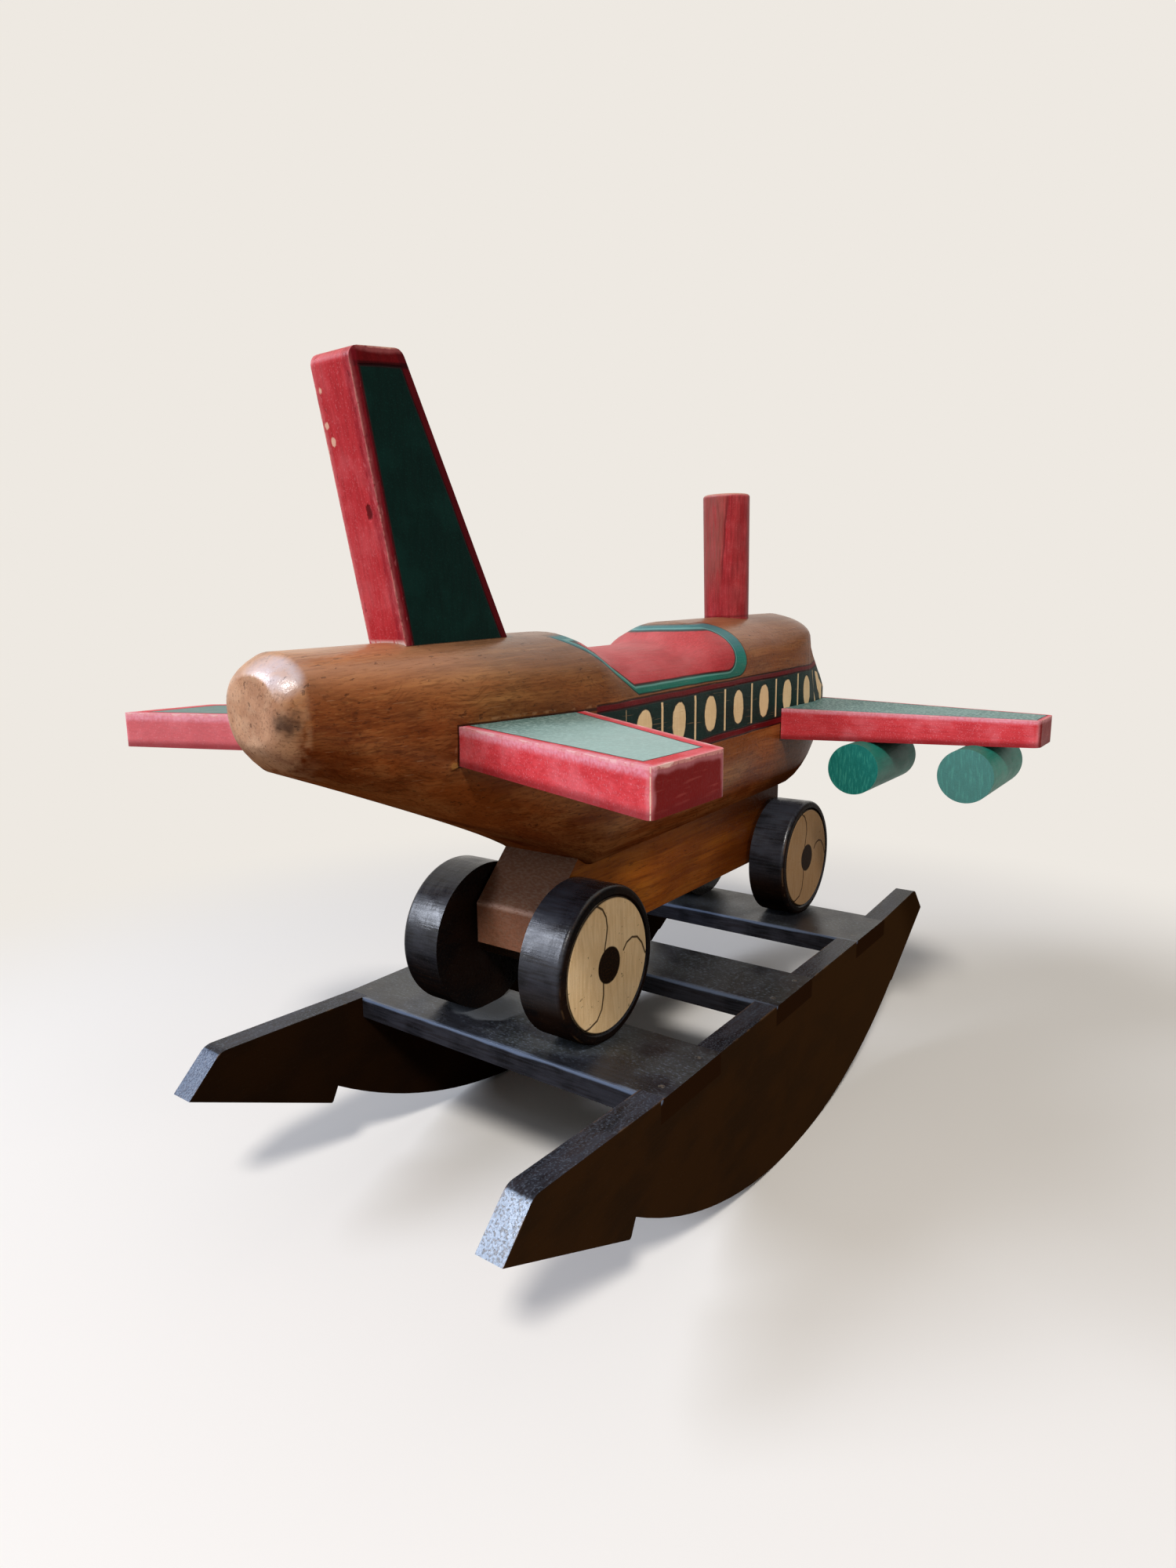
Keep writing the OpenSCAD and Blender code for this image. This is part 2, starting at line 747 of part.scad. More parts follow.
fuselage();
keel_block();
handle_peg();
tail_fin();
left_stabiliser();
right_stabiliser();
left_wing();
right_wing();
left_outer_engine();
left_inner_engine();
right_inner_engine();
right_outer_engine();
front_left_wheel();
front_right_wheel();
rear_left_wheel();
rear_right_wheel();
front_axle();
rear_axle();
left_rocker();
right_rocker();
front_plank();
middle_plank();
rear_plank();
fin_dowels();
stabiliser_dowels();
wing_dowels();
engine_dowels();
keel_screws();
axle_screws();
wheel_screws();
plank_nails();
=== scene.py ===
"""Wooden rocking airplane: paint, varnish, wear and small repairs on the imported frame, with its studio.

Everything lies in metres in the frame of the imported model: X to the nose, Y to port, Z up from the
floor. Finishes count in millimetres, since paint lines, grain and wear are set out that way. Places
and sizes on the toy have names. The bare numbers of a coat are its own: size, seed and detail of a
cloud, limit and softness of a mask, and the share of a colour.
"""

import json
import logging
import math
from collections.abc import Callable, Iterable
from dataclasses import dataclass
from enum import Enum

import bmesh
import bpy
from mathutils import Matrix, Vector

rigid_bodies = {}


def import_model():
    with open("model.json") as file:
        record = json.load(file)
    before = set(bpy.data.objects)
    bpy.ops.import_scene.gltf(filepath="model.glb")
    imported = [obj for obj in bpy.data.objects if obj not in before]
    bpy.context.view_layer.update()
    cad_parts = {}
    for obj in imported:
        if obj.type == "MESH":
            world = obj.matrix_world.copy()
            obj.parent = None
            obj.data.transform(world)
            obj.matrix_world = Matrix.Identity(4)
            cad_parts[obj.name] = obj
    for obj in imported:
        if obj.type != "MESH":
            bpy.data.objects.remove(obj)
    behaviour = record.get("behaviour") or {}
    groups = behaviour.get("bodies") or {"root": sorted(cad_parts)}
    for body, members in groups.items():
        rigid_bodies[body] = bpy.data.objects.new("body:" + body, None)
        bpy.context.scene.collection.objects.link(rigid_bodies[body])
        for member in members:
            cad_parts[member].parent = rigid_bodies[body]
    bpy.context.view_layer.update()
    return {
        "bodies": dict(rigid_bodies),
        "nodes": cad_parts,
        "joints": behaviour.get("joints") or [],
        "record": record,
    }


log = logging.getLogger("rocking_airplane")

MM = 0.001
# Place of the rockers' middle along X, from where the toy's own lengths count
ROCKER_MIDDLE = 22.5
# How much the body's lines climb per millimetre towards the nose
RISE = 0.02619
# Height of the planks' tops over the floor
PLANK_TOP = 140.0
# How far one step of a seed moves a cloud along X, Y and Z
SEED_STEP = (7.13, 3.71, 5.97)
# Farther off than any mask reaches
FAR = 99.0

Node = bpy.types.Node
Material = bpy.types.Material
Pair = tuple[float, float]
Triple = tuple[float, float, float]
Colour = tuple[float, float, float, float]


def linear(code: str) -> Colour:
    """Turns an sRGB hex code such as #8A5A2E into linear red, green, blue and alpha."""
    parts = [int(code[i : i + 2], 16) / 255 for i in (1, 3, 5)]
    return (*(c / 12.92 if c <= 0.04045 else ((c + 0.055) / 1.055) ** 2.4 for c in parts), 1.0)


def add_node(tree: bpy.types.NodeTree, kind: str, settings: dict, links: dict) -> Node:
    """Adds one node with its settings, and links or sets its inputs.

    Args:
        tree: The node tree that gets the node.
        kind: The node's type name.
        settings: Values of the node's own properties, by name.
        links: Inputs by name or place; each gets a Field's socket, a socket or a plain value.

    Returns:
        The new node.
    """
    node = tree.nodes.new(kind)
    for name, value in settings.items():
        setattr(node, name, value)
    for name, value in links.items():
        source = getattr(value, "socket", value)
        if isinstance(source, bpy.types.NodeSocket):
            tree.links.new(source, node.inputs[name])
        elif isinstance(source, str):
            node.inputs[name].default_value = linear(source)
        else:
            node.inputs[name].default_value = source
    return node


def worked_by(operation: str, swapped: bool = False) -> Callable[..., "Field"]:
    """Makes the method of Field that does one kind of sum.

    Args:
        operation: Name of the sum.
        swapped: True where the field is the last term, as in a number minus a field.

    Returns:
        A method that takes the other terms, fields or numbers, and returns the result as a Field.
    """

    def method(self: "Field", *others: "Value") -> "Field":
        """Works the sum out over the surface."""
        terms = (*others, self) if swapped else (self, *others)
        return self.canvas.add("ShaderNodeMath", {"operation": operation}, dict(enumerate(terms)))

    return method


@dataclass(frozen=True)
class Field:
    """A value that varies over a surface, with the arithmetic to set out paint lines and wear."""

    canvas: "Canvas"
    socket: bpy.types.NodeSocket

    __add__ = __radd__ = worked_by("ADD")
    __sub__ = worked_by("SUBTRACT")
    __rsub__ = worked_by("SUBTRACT", swapped=True)
    __mul__ = __rmul__ = worked_by("MULTIPLY")
    __truediv__ = worked_by("DIVIDE")
    __pow__ = worked_by("POWER")
    __abs__ = worked_by("ABSOLUTE")
    least = worked_by("MINIMUM")
    most = worked_by("MAXIMUM")
    root = worked_by("SQRT")
    sine = worked_by("SINE")
    fraction = worked_by("FRACT")
    angle = worked_by("ARCTAN2")

    def over(self, limit: "Value", blur: float = 0.35) -> "Field":
        """Returns 1 where the field is over the limit and 0 under it, with an edge as soft as blur."""
        ends = {"Value": self, "From Min": limit - blur, "From Max": limit + blur}
        return self.canvas.add("ShaderNodeMapRange", {"interpolation_type": "SMOOTHSTEP"}, ends)

    def under(self, limit: "Value", blur: float = 0.35) -> "Field":
        """Returns 1 where the field is under the limit and 0 over it."""
        return 1.0 - self.over(limit, blur)

    def between(self, low: "Value", high: "Value", blur: float = 0.35) -> "Field":
        """Returns 1 where the field lies between the limits and 0 elsewhere."""
        return self.over(low, blur) * self.under(high, blur)

    def near(self, value: "Value", width: "Value", blur: float = 0.35) -> "Field":
        """Returns 1 on a line of that width along the places where the field has that value."""
        return abs(self - value).under(width * 0.5, blur)


Value = Field | float


def span(u: Field, v: Field) -> Field:
    """Returns the length of the straight line whose two legs are u and v."""
    return (u**2.0 + v**2.0).root()


class Canvas:
    """A material while it is being painted: place in millimetres, colour so far and relief so far."""

    def __init__(self, name: str, ground: str) -> None:
        """Starts a material.

        Args:
            name: Name of the material.
            ground: sRGB hex colour of the ground coat.
        """
        self.material = bpy.data.materials.new(name)
        self.material.use_nodes = True
        self.tree = self.material.node_tree
        self.tree.nodes.clear()
        metres = self.add("ShaderNodeTexCoord", {}, {}, "Object")
        self.place = self.add("ShaderNodeVectorMath", {"operation": "SCALE"}, {0: metres, "Scale": 1000.0})
        self.x, self.y, self.z = (
            self.add("ShaderNodeSeparateXYZ", {}, {0: self.place}, axis) for axis in "XYZ"
        )
        facing = self.add("ShaderNodeNewGeometry", {}, {}, "Normal")
        self.facing_x, self.facing_y, self.facing_z = (
            self.add("ShaderNodeSeparateXYZ", {}, {0: facing}, axis) for axis in "XYZ"
        )
        self.colour: Field | str = ground
        self.relief: Value = 0.0

    def add(self, kind: str, settings: dict, links: dict, output: int | str = 0) -> Field:
        """Adds a node to the material and returns one of its outputs as a Field."""
        return Field(self, add_node(self.tree, kind, settings, links).outputs[output])

    def mottle(
        self,
        size: float,
        seed: float,
        detail: float,
        stretch: Triple = (1.0, 1.0, 1.0),
        at: Field | None = None,
    ) -> Field:
        """Cloudy variation, mostly from 0.3 to 0.7.

        Args:
            size: Width of a patch in millimetres.
            seed: Moves the pattern to another part of the cloud.
            detail: How many finer layers the cloud has.
            stretch: How much longer a patch is along X, Y and Z.
            at: Place to read the cloud at, if it isn't the surface point.

        Returns:
            The variation as a Field.
        """
        scale = tuple(1 / (size * s) for s in stretch)
        links = {0: at or self.place, 1: scale, 2: tuple(seed * step for step in SEED_STEP)}
        spot = self.add("ShaderNodeVectorMath", {"operation": "MULTIPLY_ADD"}, links)
        return self.add("ShaderNodeTexNoise", {}, {"Vector": spot, "Scale": 1.0, "Detail": detail})

    def wander(self, reach: float, *cloud: float | Triple) -> Field:
        """Returns how far a hand strays, mostly up to a fifth of reach; cloud is what mottle takes."""
        return (self.mottle(*cloud) - 0.5) * reach

    def swirled(self, reach: float, size: float, seed: float) -> Field:
        """Moves the surface point about in swirls.

        Args:
            reach: How far a point moves at most, in millimetres.
            size: About how wide a swirl is, in millimetres.
            seed: Which of the patterns.

        Returns:
            The moved point.
        """
        links = {0: self.place, 1: (1 / size,) * 3, 2: (seed,) * 3}
        scaled = self.add("ShaderNodeVectorMath", {"operation": "MULTIPLY_ADD"}, links)
        cloud = self.add("ShaderNodeTexNoise", {}, {"Vector": scaled, "Scale": 1.0, "Detail": 1.0}, "Color")
        centred = self.add("ShaderNodeVectorMath", {"operation": "SUBTRACT"}, {0: cloud, 1: (0.5,) * 3})
        links = {0: centred, 1: (2 * reach,) * 3, 2: self.place}
        return self.add("ShaderNodeVectorMath", {"operation": "MULTIPLY_ADD"}, links)

    def blend(self, share: Value, under: Field | str, over: Field | str) -> Field:
        """Returns the colour under with share parts of the colour over laid on it."""
        colours = {0: share, 6: under, 7: over}
        return self.add("ShaderNodeMix", {"data_type": "RGBA"}, colours, 2)

    def lay(self, share: Value, colour: Field | str) -> None:
        """Lays a colour over the work so far, where and as strongly as share says."""
        self.colour = self.blend(share, self.colour, colour)

    def cut(self, share: Value, depth: float) -> None:
        """Sinks the surface by depth mm where share says; a negative depth raises it."""
        self.relief = self.relief - share * depth

    def incise(self, line: Field, share: float, colour: str, depth: float) -> None:
        """Draws a line or a nick: share parts of a colour on it, sunk by depth mm."""
        self.lay(line * share, colour)
        self.cut(line, depth)

    def rubbed(self, walls: Iterable[Field], width: Value, blur: float = 0.6) -> Field:
        """Finds the edges of a board.

        Args:
            walls: Distance from the surface point to the plane of each face, in millimetres.
            width: How far from an edge the wear reaches.
            blur: How softly it ends.

        Returns:
            1 on points that lie close to two faces or more, and 0 in the middle of a face.
        """
        close = [abs(w).under(width, blur) for w in walls]
        return sum(close[1:], close[0]).over(1.5, 0.5)

    def shine(self, dull: float, bright: float) -> Field:
        """Returns a gloss: bright on the upper and rear faces, which hands polish, and none underneath."""
        polished = (self.facing_z - self.facing_x * 0.4).over(0.6, 0.25)
        return (polished * (bright - dull) + dull) * self.facing_z.over(-0.25, 0.15)

    def dressed(self, roughness: Value, gloss: Value = 0.5, metallic: float = 0.0) -> Material:
        """Ends the work.

        Args:
            roughness: Roughness over the surface.
            gloss: Strength of the mirrored light over the surface.
            metallic: 1 for bare metal.

        Returns:
            The finished material.
        """
        links = {"Base Color": self.colour, "Roughness": roughness}
        links |= {"Specular IOR Level": gloss, "Metallic": metallic}
        if isinstance(self.relief, Field):
            heights = {"Height": self.relief, "Distance": MM, "Strength": 1.0}
            links["Normal"] = self.add("ShaderNodeBump", {}, heights)
        shader = self.add("ShaderNodeBsdfPrincipled", {}, links)
        add_node(self.tree, "ShaderNodeOutputMaterial", {}, {"Surface": shader})
        return self.material


class Grain(Enum):
    """Which way the long grain of a piece runs."""

    ALONG_X = (14.0, 1.0, 1.0)
    ALONG_Y = (1.0, 14.0, 1.0)
    ALONG_Z = (1.0, 1.0, 14.0)
    RAKED = (2.0, 1.0, 12.0)


@dataclass(frozen=True)
class HoneyVarnish:
    """Plantation hardwood, gouged and scraped to shape, stained and brushed with oil varnish.

    The eye gets a warm mottled brown with long crisp streaks, swirls where the cut crosses the rings,
    dark pores a few millimetres long, dark red-brown patches, painted sheen that makes the upper faces
    paler, painted shade that darkens the underside to red-brown, and a gloss that breaks up over the
    scraper marks.
    """

    honey: str = "#A75F2F"
    shade: str = "#4C2109"
    pale: str = "#C8935A"
    ring: float = 9.0
    streak: float = 2.4
    patch: float = 70.0
    pore: float = 0.9
    pith: Pair = (22.0, 215.0)

    def lay(self, c: Canvas, grain: Grain) -> None:
        """Lays the wood, its stain and its scraper marks on a canvas.

        Args:
            c: The canvas of the material.
            grain: Which way the long grain of the piece runs.
        """
        swirl = c.swirled(6.0, 130.0, 3.1)
        knotted = c.swirled(26.0, 70.0, 6.4)
        across = [c.add("ShaderNodeSeparateXYZ", {}, {0: swirl}, axis) for axis in "YZ"]
        ring_at = span(*(leg - middle for leg, middle in zip(across, self.pith)))
        wobble = c.mottle(30.0, 1.0, 2.0, grain.value, swirl) * 9.0
        rings = ((ring_at / self.ring + wobble) * math.tau / 2.0).sine() * 0.5 + 0.5
        patch = c.mottle(self.patch, 2.0, 3.0, (2.0, 1.0, 1.0)).over(0.52, 0.2)
        streak = c.mottle(self.streak, 3.0, 3.0, (30.0, 1.0, 1.0), swirl).over(0.56, 0.12)
        band = c.mottle(8.0, 9.0, 3.0, (26.0, 1.0, 1.0), swirl)
        pores = c.mottle(self.pore, 4.0, 1.0, grain.value, swirl).over(0.68, 0.04)
        worn = c.mottle(34.0, 5.0, 2.0, (3.0, 1.0, 1.0)).over(0.56, 0.14)
        line = c.mottle(1.1, 7.0, 2.0, (50.0, 1.0, 1.0), swirl)
        dark_patches = c.mottle(46.0, 8.0, 4.0, (1.6, 1.0, 0.7), knotted).over(0.53, 0.1)
        c.lay(worn * 0.55, self.pale)
        c.lay(patch * 0.6, self.shade)
        # Painted sheen: upper faces paler
        c.lay(c.facing_z.over(0.5, 0.4) * 0.6, "#C28F6E")
        c.lay(rings * 0.2, self.shade)
        c.lay(band.over(0.55, 0.1) * 0.34, self.shade)
        c.lay(band.under(0.43, 0.08) * 0.2, self.pale)
        c.lay(streak * 0.4, self.shade)
        c.lay(line.over(0.6, 0.05) * 0.45, self.shade)
        c.lay(line.under(0.38, 0.05) * 0.16, self.pale)
        c.lay(pores * 0.5, "#2A1406")
        # Painted shade: the underside darker red-brown, and the dark patches stronger there
        under = (c.facing_z * -1.0).over(0.22, 0.42)
        c.lay(dark_patches * (under * 0.35 + 0.25), "#4A1A08")
        c.lay(under * 0.5, "#5A220A")
        scraped = c.mottle(3.0, 10.0, 3.0, (1.5, 1.0, 1.0))
        c.relief = c.mottle(26.0, 6.0, 1.0, (2.4, 1.0, 1.0)) * 1.1 + scraped * 0.25 + line * 0.08
        c.cut(pores, 0.08)


@dataclass(frozen=True)
class BrushedEnamel:
    """Oil paint brushed straight on the wood and left to fade and rub through.

    The eye gets a chalky satin colour with soft brush streaks, pinker or greyer where hands
    have polished it, darker in cloudy patches, and pale bare wood on the sharpest corners.
    """

    colour: str
    shade: str
    faded: str
    bare: str = "#D8B58C"
    brush: float = 1.6

    def lay(self, c: Canvas, where: Value, grain: Grain, seed: float) -> None:
        """Brushes the paint on a canvas.

        Args:
            c: The material being painted.
            where: Where the paint goes.
            grain: Which way the brush went.
            seed: Makes this coat differ from others of the same paint.
        """
        brushed = c.mottle(self.brush, seed, 3.0, grain.value)
        cloud = c.mottle(22.0, seed + 1.0, 3.0, (1.4, 1.0, 1.0))
        grit = c.mottle(1.1, seed + 2.0, 1.0)
        paint: Field | str = self.colour
        for share, tone in (
            (cloud.over(0.55, 0.2) * 0.3, self.shade),
            (brushed.over(0.54, 0.16) * 0.4, self.shade),
            (cloud.under(0.42, 0.12) * 0.16, self.faded),
            (grit.over(0.64, 0.06) * 0.22, self.faded),
        ):
            paint = c.blend(share, paint, tone)
        c.lay(where, paint)
        c.relief = c.relief + (brushed * 0.16 + grit * 0.05) * where

    def rub(self, c: Canvas, walls: tuple[Field, ...], softness: float, seed: float) -> None:
        """Fades the paint along the edges, and takes it off where they are sharpest.

        Args:
            c: The material being painted.
            walls: Distance to the plane of each face, as for Canvas.rubbed.
            softness: Radius of the rounded edges in millimetres.
            seed: Makes the wear differ from piece to piece.
        """
        patchy = c.mottle(11.0, seed + 3.0, 4.0)
        fine = c.mottle(2.0, seed + 4.0, 3.0)
        crest = softness * 0.3
        c.lay(c.rubbed(walls, patchy * 4.0 + crest, 1.8) * (0.2 + fine * 0.2), self.faded)
        thin = c.rubbed(walls, patchy * 2.4 + (crest - 1.1), 0.3)
        c.lay(thin * fine.over(0.42, 0.1) * 0.5, "#E6A79B")
        c.lay(c.rubbed(walls, patchy * 9.0 + (crest - 6.2), 0.4) * 0.85, self.bare)


@dataclass(frozen=True)
class BlackLacquer:
    """Black lacquer rubbed out to a satin, thin enough that brown wood shows through in places.

    The eye gets a near-black with a painted slate-blue reflection of the sky on the upper and rear
    faces, brown blotches, fine scuffs and a thin brown line along worn edges.
    """

    black: str = "#100D0D"
    brown: str = "#2C190C"
    scuff: str = "#4A4742"
    sky_reflection: str = "#3A3F49"
    bare: str = "#5E4630"

    def lay(self, c: Canvas, grain: Grain, seed: float, brownness: float) -> Field:
        """Lays the lacquer.

        Args:
            c: The material being painted.
            grain: Which way the grain runs.
            seed: Makes the blotches differ from piece to piece.
            brownness: How much brown shows, from 0 to 1.

        Returns:
            The roughness over the surface.
        """
        blotch = c.mottle(28.0, seed, 4.0, (2.0, 1.0, 1.0))
        streak = c.mottle(1.8, seed + 1.0, 3.0, grain.value)
        dust = c.mottle(1.2, seed + 2.0, 2.0)
        scratch = c.mottle(0.7, seed + 3.0, 2.0, (9.0, 9.0, 1.0))
        c.lay(blotch.over(0.5, 0.12) * brownness, self.brown)
        c.lay(streak.over(0.58, 0.12) * 0.25, self.brown)
        c.lay(scratch.over(0.72, 0.03) * 0.35, self.scuff)
        c.lay(dust.over(0.7, 0.04) * 0.3, self.scuff)
        # Painted reflection: slate blue of the sky on the upper and rear faces
        sky = (c.facing_z - c.facing_x * 0.7).over(0.65, 0.35)
        c.lay(sky * (streak.over(0.46, 0.14) * 0.35 + blotch.over(0.5, 0.14) * 0.35 + 0.08), self.sky_reflection)
        c.relief = c.relief + streak * 0.1 + blotch * 0.25 + dust * 0.03
        return blotch.over(0.55, 0.2) * 0.14 + dust.over(0.5, 0.3) * 0.08 + 0.2

    def rub(self, c: Canvas, edges: Field, seed: float) -> None:
        """Wears the lacquer to brown wood along the edges."""
        patchy = c.mottle(11.0, seed + 4.0, 4.0)
        c.lay(edges * patchy.over(0.56, 0.1) * 0.6, self.bare)


CRIMSON = BrushedEnamel("#BC373C", "#8A1F22", "#DB7F82", "#E2B09C")
SHADED_CRIMSON = BrushedEnamel("#600E12", "#3A070A", "#82282E")
# Painted light: a brighter copy of the crimson for the boards, whose rear faces catch strong light
LIT_CRIMSON = BrushedEnamel("#DA454B", "#AC2A30", "#F2A6B0", "#F0C6BC")
BOTTLE_GREEN = BrushedEnamel("#0C231F", "#081816", "#17403A")
WEATHERED_TEAL = BrushedEnamel("#3F6B63", "#2B4F49", "#8AAFA6")
TEAL = BrushedEnamel("#1D7566", "#13564B", "#3E9482")
CREAM = BrushedEnamel("#F2D2A2", "#D6B282", "#F6E2C2")


def dress(
    frame: dict,
    names: Iterable[str],
    material: Material,
    width: float = 0.0,
    segments: int = 3,
    keep: float = 32.0,
) -> None:
    """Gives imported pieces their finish, rounds their edges and shades them; their own meshes stay.

    Args:
        names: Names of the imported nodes.
        material: The finish that takes the place of the plain one.
        width: Width of the rounding in millimetres; 0 leaves the edges sharp.
        segments: Number of steps across the rounding.
        keep: Edges that turn by more degrees than this stay sharp to the eye.
    """
    for name in names:
        piece = frame["nodes"][name]
        piece.data.materials.clear()
        piece.data.materials.append(material)
        if "custom_normal" in piece.data.attributes:
            piece.data.attributes.remove(piece.data.attributes["custom_normal"])
        piece.modifiers.new("joined", "WELD").merge_threshold = 0.02 * MM
        if width > 0:
            rounding = piece.modifiers.new("rounding", "BEVEL")
            rounding.width = width * MM
            rounding.segments = segments
            rounding.limit_method = "ANGLE"
            rounding.angle_limit = math.radians(keep)
            rounding.use_clamp_overlap = True
        piece.modifiers.new("shading", "NODES").node_group = smooth_shading(keep)
        piece.modifiers.new("flats", "WEIGHTED_NORMAL").keep_sharp = True
        log.info("%s: %s", name, material.name)


def smooth_shading(keep: float) -> bpy.types.NodeTree:
    """Makes the geometry nodes that shade a mesh smoothly.

    Args:
        keep: Edges over this many degrees stay sharp.

    Returns:
        The node tree for a modifier.
    """
    name = f"smooth_under_{keep:.0f}"
    if name in bpy.data.node_groups:
        return bpy.data.node_groups[name]
    tree = bpy.data.node_groups.new(name, "GeometryNodeTree")
    for direction in ("INPUT", "OUTPUT"):
        tree.interface.new_socket("Geometry", in_out=direction, socket_type="NodeSocketGeometry")
    start = add_node(tree, "NodeGroupInput", {}, {}).outputs[0]
    links = {"Geometry": start, "Shade Smooth": True}
    smooth = add_node(tree, "GeometryNodeSetShadeSmooth", {"domain": "FACE"}, links).outputs[0]
    turn = add_node(tree, "GeometryNodeInputMeshEdgeAngle", {}, {}).outputs[0]
    settings = {"data_type": "FLOAT", "operation": "GREATER_THAN"}
    sharp = add_node(tree, "FunctionNodeCompare", settings, {0: turn, 1: math.radians(keep)}).outputs[0]
    links = {"Geometry": smooth, "Selection": sharp, "Shade Smooth": False}
    edged = add_node(tree, "GeometryNodeSetShadeSmooth", {"domain": "EDGE"}, links).outputs[0]
    add_node(tree, "NodeGroupOutput", {}, {0: edged})
    return tree


def beyond(u: Field, v: Field, start: Pair, end: Pair) -> Field:
    """Distance of the surface point from the line through two places, positive to the line's left.

    Args:
        u: First coordinate of the surface point in the plane, in millimetres.
        v: Second coordinate.
        start: First place on the line.
        end: Second place on the line.

    Returns:
        The distance in millimetres.
    """
    du, dv = end[0] - start[0], end[1] - start[1]
    length = math.hypot(du, dv)
    return v * (du / length) - u * (dv / length) + (start[0] * dv - start[1] * du) / length


@dataclass(frozen=True)
class Fuselage:
    """The carved body with its varnish, its band of windows and its painted saddle.

    Levels of the band and the saddle count from the planks' tops and climb with the body's lines.
    A foot is given by its rear, its front and its underside, then by the fin's half-width, or by the
    board's top and the distance of its inner end from the middle.
    """

    band: Pair = (199.0, 238.0)
    upper_stripe: float = 5.0
    lower_stripe: float = 6.0
    band_start: float = -150.0
    first_divider: float = -117.5
    divider: float = 2.9
    pitch: float = 51.25
    nose_pitch: float = 49.0
    nose_from: float = 241.25
    oval: Pair = (9.8, 14.8)
    taper_start: float = 210.0
    taper: Pair = (115.0, 61.0)
    nose_arc: Pair = (92.05, 13.75)
    saddle: Pair = (-96.0, 79.0)
    seat_levels: Pair = (245.5, 290.8)
    saddle_round: float = 18.0
    saddle_slant: Pair = (-0.586, 0.81)
    seat_inset: tuple[float, float, float, float] = (5.0, 7.0, 20.0, 5.0)
    tail_face: float = -345.0
    knot: Pair = (-24.0, 388.0)
    fin_foot: tuple[float, ...] = (-284.0, -189.0, 400.0, 16.0)
    board_feet: tuple[tuple[float, ...], ...] = (
        (-273.0, -147.0, 352.7, 376.7, 30.0),
        (151.0, 290.0, 320.7, 350.7, 36.0),
    )
    glue: Pair = (-275.5, 353.5)
    varnish: HoneyVarnish = HoneyVarnish()

    def saddle_edge(self, x: Field, h: Field, rear: float, low: float, front: float, top: float) -> Field:
        """Distance from the outline of the painted saddle, negative inside.

        The outline dips along the flanks, wraps the front hump and slants up behind, and the
        crest of the hump stays bare.

        Args:
            x: Place along the body.
            h: Height over the plank tops, less the rise of the body's lines.
            rear: Inset of the outline at the rear.
            low: Inset along the sides.
            front: Inset at the front.
            top: Inset under the crest.

        Returns:
            The distance in millimetres.
        """
        foot, crest = self.seat_levels[0] + low, self.seat_levels[1] - top
        r = min(self.saddle_round, (crest - foot) / 2)
        out_x = x - (self.saddle[1] - front - r)
        out_h = abs(h - (foot + crest) / 2) - ((crest - foot) / 2 - r)
        outside = span(out_x.most(0.0), out_h.most(0.0))
        slant_x, slant_h = self.saddle_slant
        behind = (x - self.saddle[0]) * slant_x - (h - self.seat_levels[0]) * slant_h
        return (outside + out_x.most(out_h).least(0.0) - r).most(behind + rear)

    def finish(self) -> Material:
        """Paints the body: varnished wood, window band and saddle.

        Returns:
            The finished material.
        """
        c = Canvas("varnished_hardwood_with_window_band", self.varnish.honey)
        self.varnish.lay(c, Grain.ALONG_X)
        x = c.x - ROCKER_MIDDLE
        low, high = self.band
        middle = (low + high) / 2
        lines: Value = 0.0

        # Warm glow in patches, painted sheen that makes the deck behind paler, and a browner deck from the
        # saddle on
        glow = c.mottle(52.0, 30.0, 3.0, (2.2, 1.0, 1.0)).over(0.53, 0.12)
        c.lay(glow * 0.25, "#B4622A")
        c.lay(c.facing_z.over(0.3, 0.35) * x.under(-190.0, 60.0) * 0.22, "#C9966E")
        c.lay(c.facing_z.over(0.1, 0.4) * x.over(-190.0, 60.0) * 0.5, "#683D22")

        # Levels follow the body's rise, hand_h as a hand painted them, and s runs on round the nose
        h = c.z - PLANK_TOP - x * RISE
        hand_h = h + c.wander(2.4, 34.0, 11.0, 1.0, (1.5, 1.0, 1.0))
        along = x.over(self.band_start, 1.0)
        tip = (x - self.taper_start).most(0.0) / self.taper[0]
        swing = tip.angle(abs(c.y) / self.taper[1])
        arc = swing * self.nose_arc[0]
        s = x.least(self.taper_start) + arc + (swing * 2.0).sine() * self.nose_arc[1]

        # Tail end: pinkish end grain, cloudy, with one dark knot, and a pale rubbed bevel round it
        rearward = c.facing_x * -1.0
        end = rearward.over(0.72, 0.16)
        cloud = c.mottle(9.0, 12.0, 4.0)
        c.lay(end * 0.75, "#CB9C7C")
        c.lay(end * cloud.over(0.5, 0.14) * 0.4, "#8A5C42")
        c.lay(end * c.mottle(13.0, 13.0, 5.0).over(0.54, 0.1) * 0.25, "#D9B798")
        bevel = rearward.between(0.4, 0.8, 0.12) * c.x.under(self.tail_face + 15.0, 4.0)
        c.lay(bevel * cloud.under(0.56, 0.14) * 0.4, "#D0A078")
        knot = span(c.y - self.knot[0], (c.z - self.knot[1]) * 0.9) + (cloud - 0.5) * 14.0
        knot = knot + c.wander(7.0, 3.0, 28.0, 3.0)
        c.lay(c.x.under(self.tail_face, 3.0) * knot.under(5.0, 5.5) * 0.85, "#33201C")

        # Browner nose, a dark dip behind the saddle, and a painted highlight, pale and bluish, where the
        # tail cap faces the light
        c.lay(x.over(140.0, 50.0) * 0.35, "#6A3E22")
        c.lay(c.facing_z.over(0.0, 0.4) * x.between(-250.0, -70.0, 25.0) * 0.42, "#563718")
        lit = c.facing_z * 0.6 - c.facing_x * 0.62 - c.facing_y * 0.4
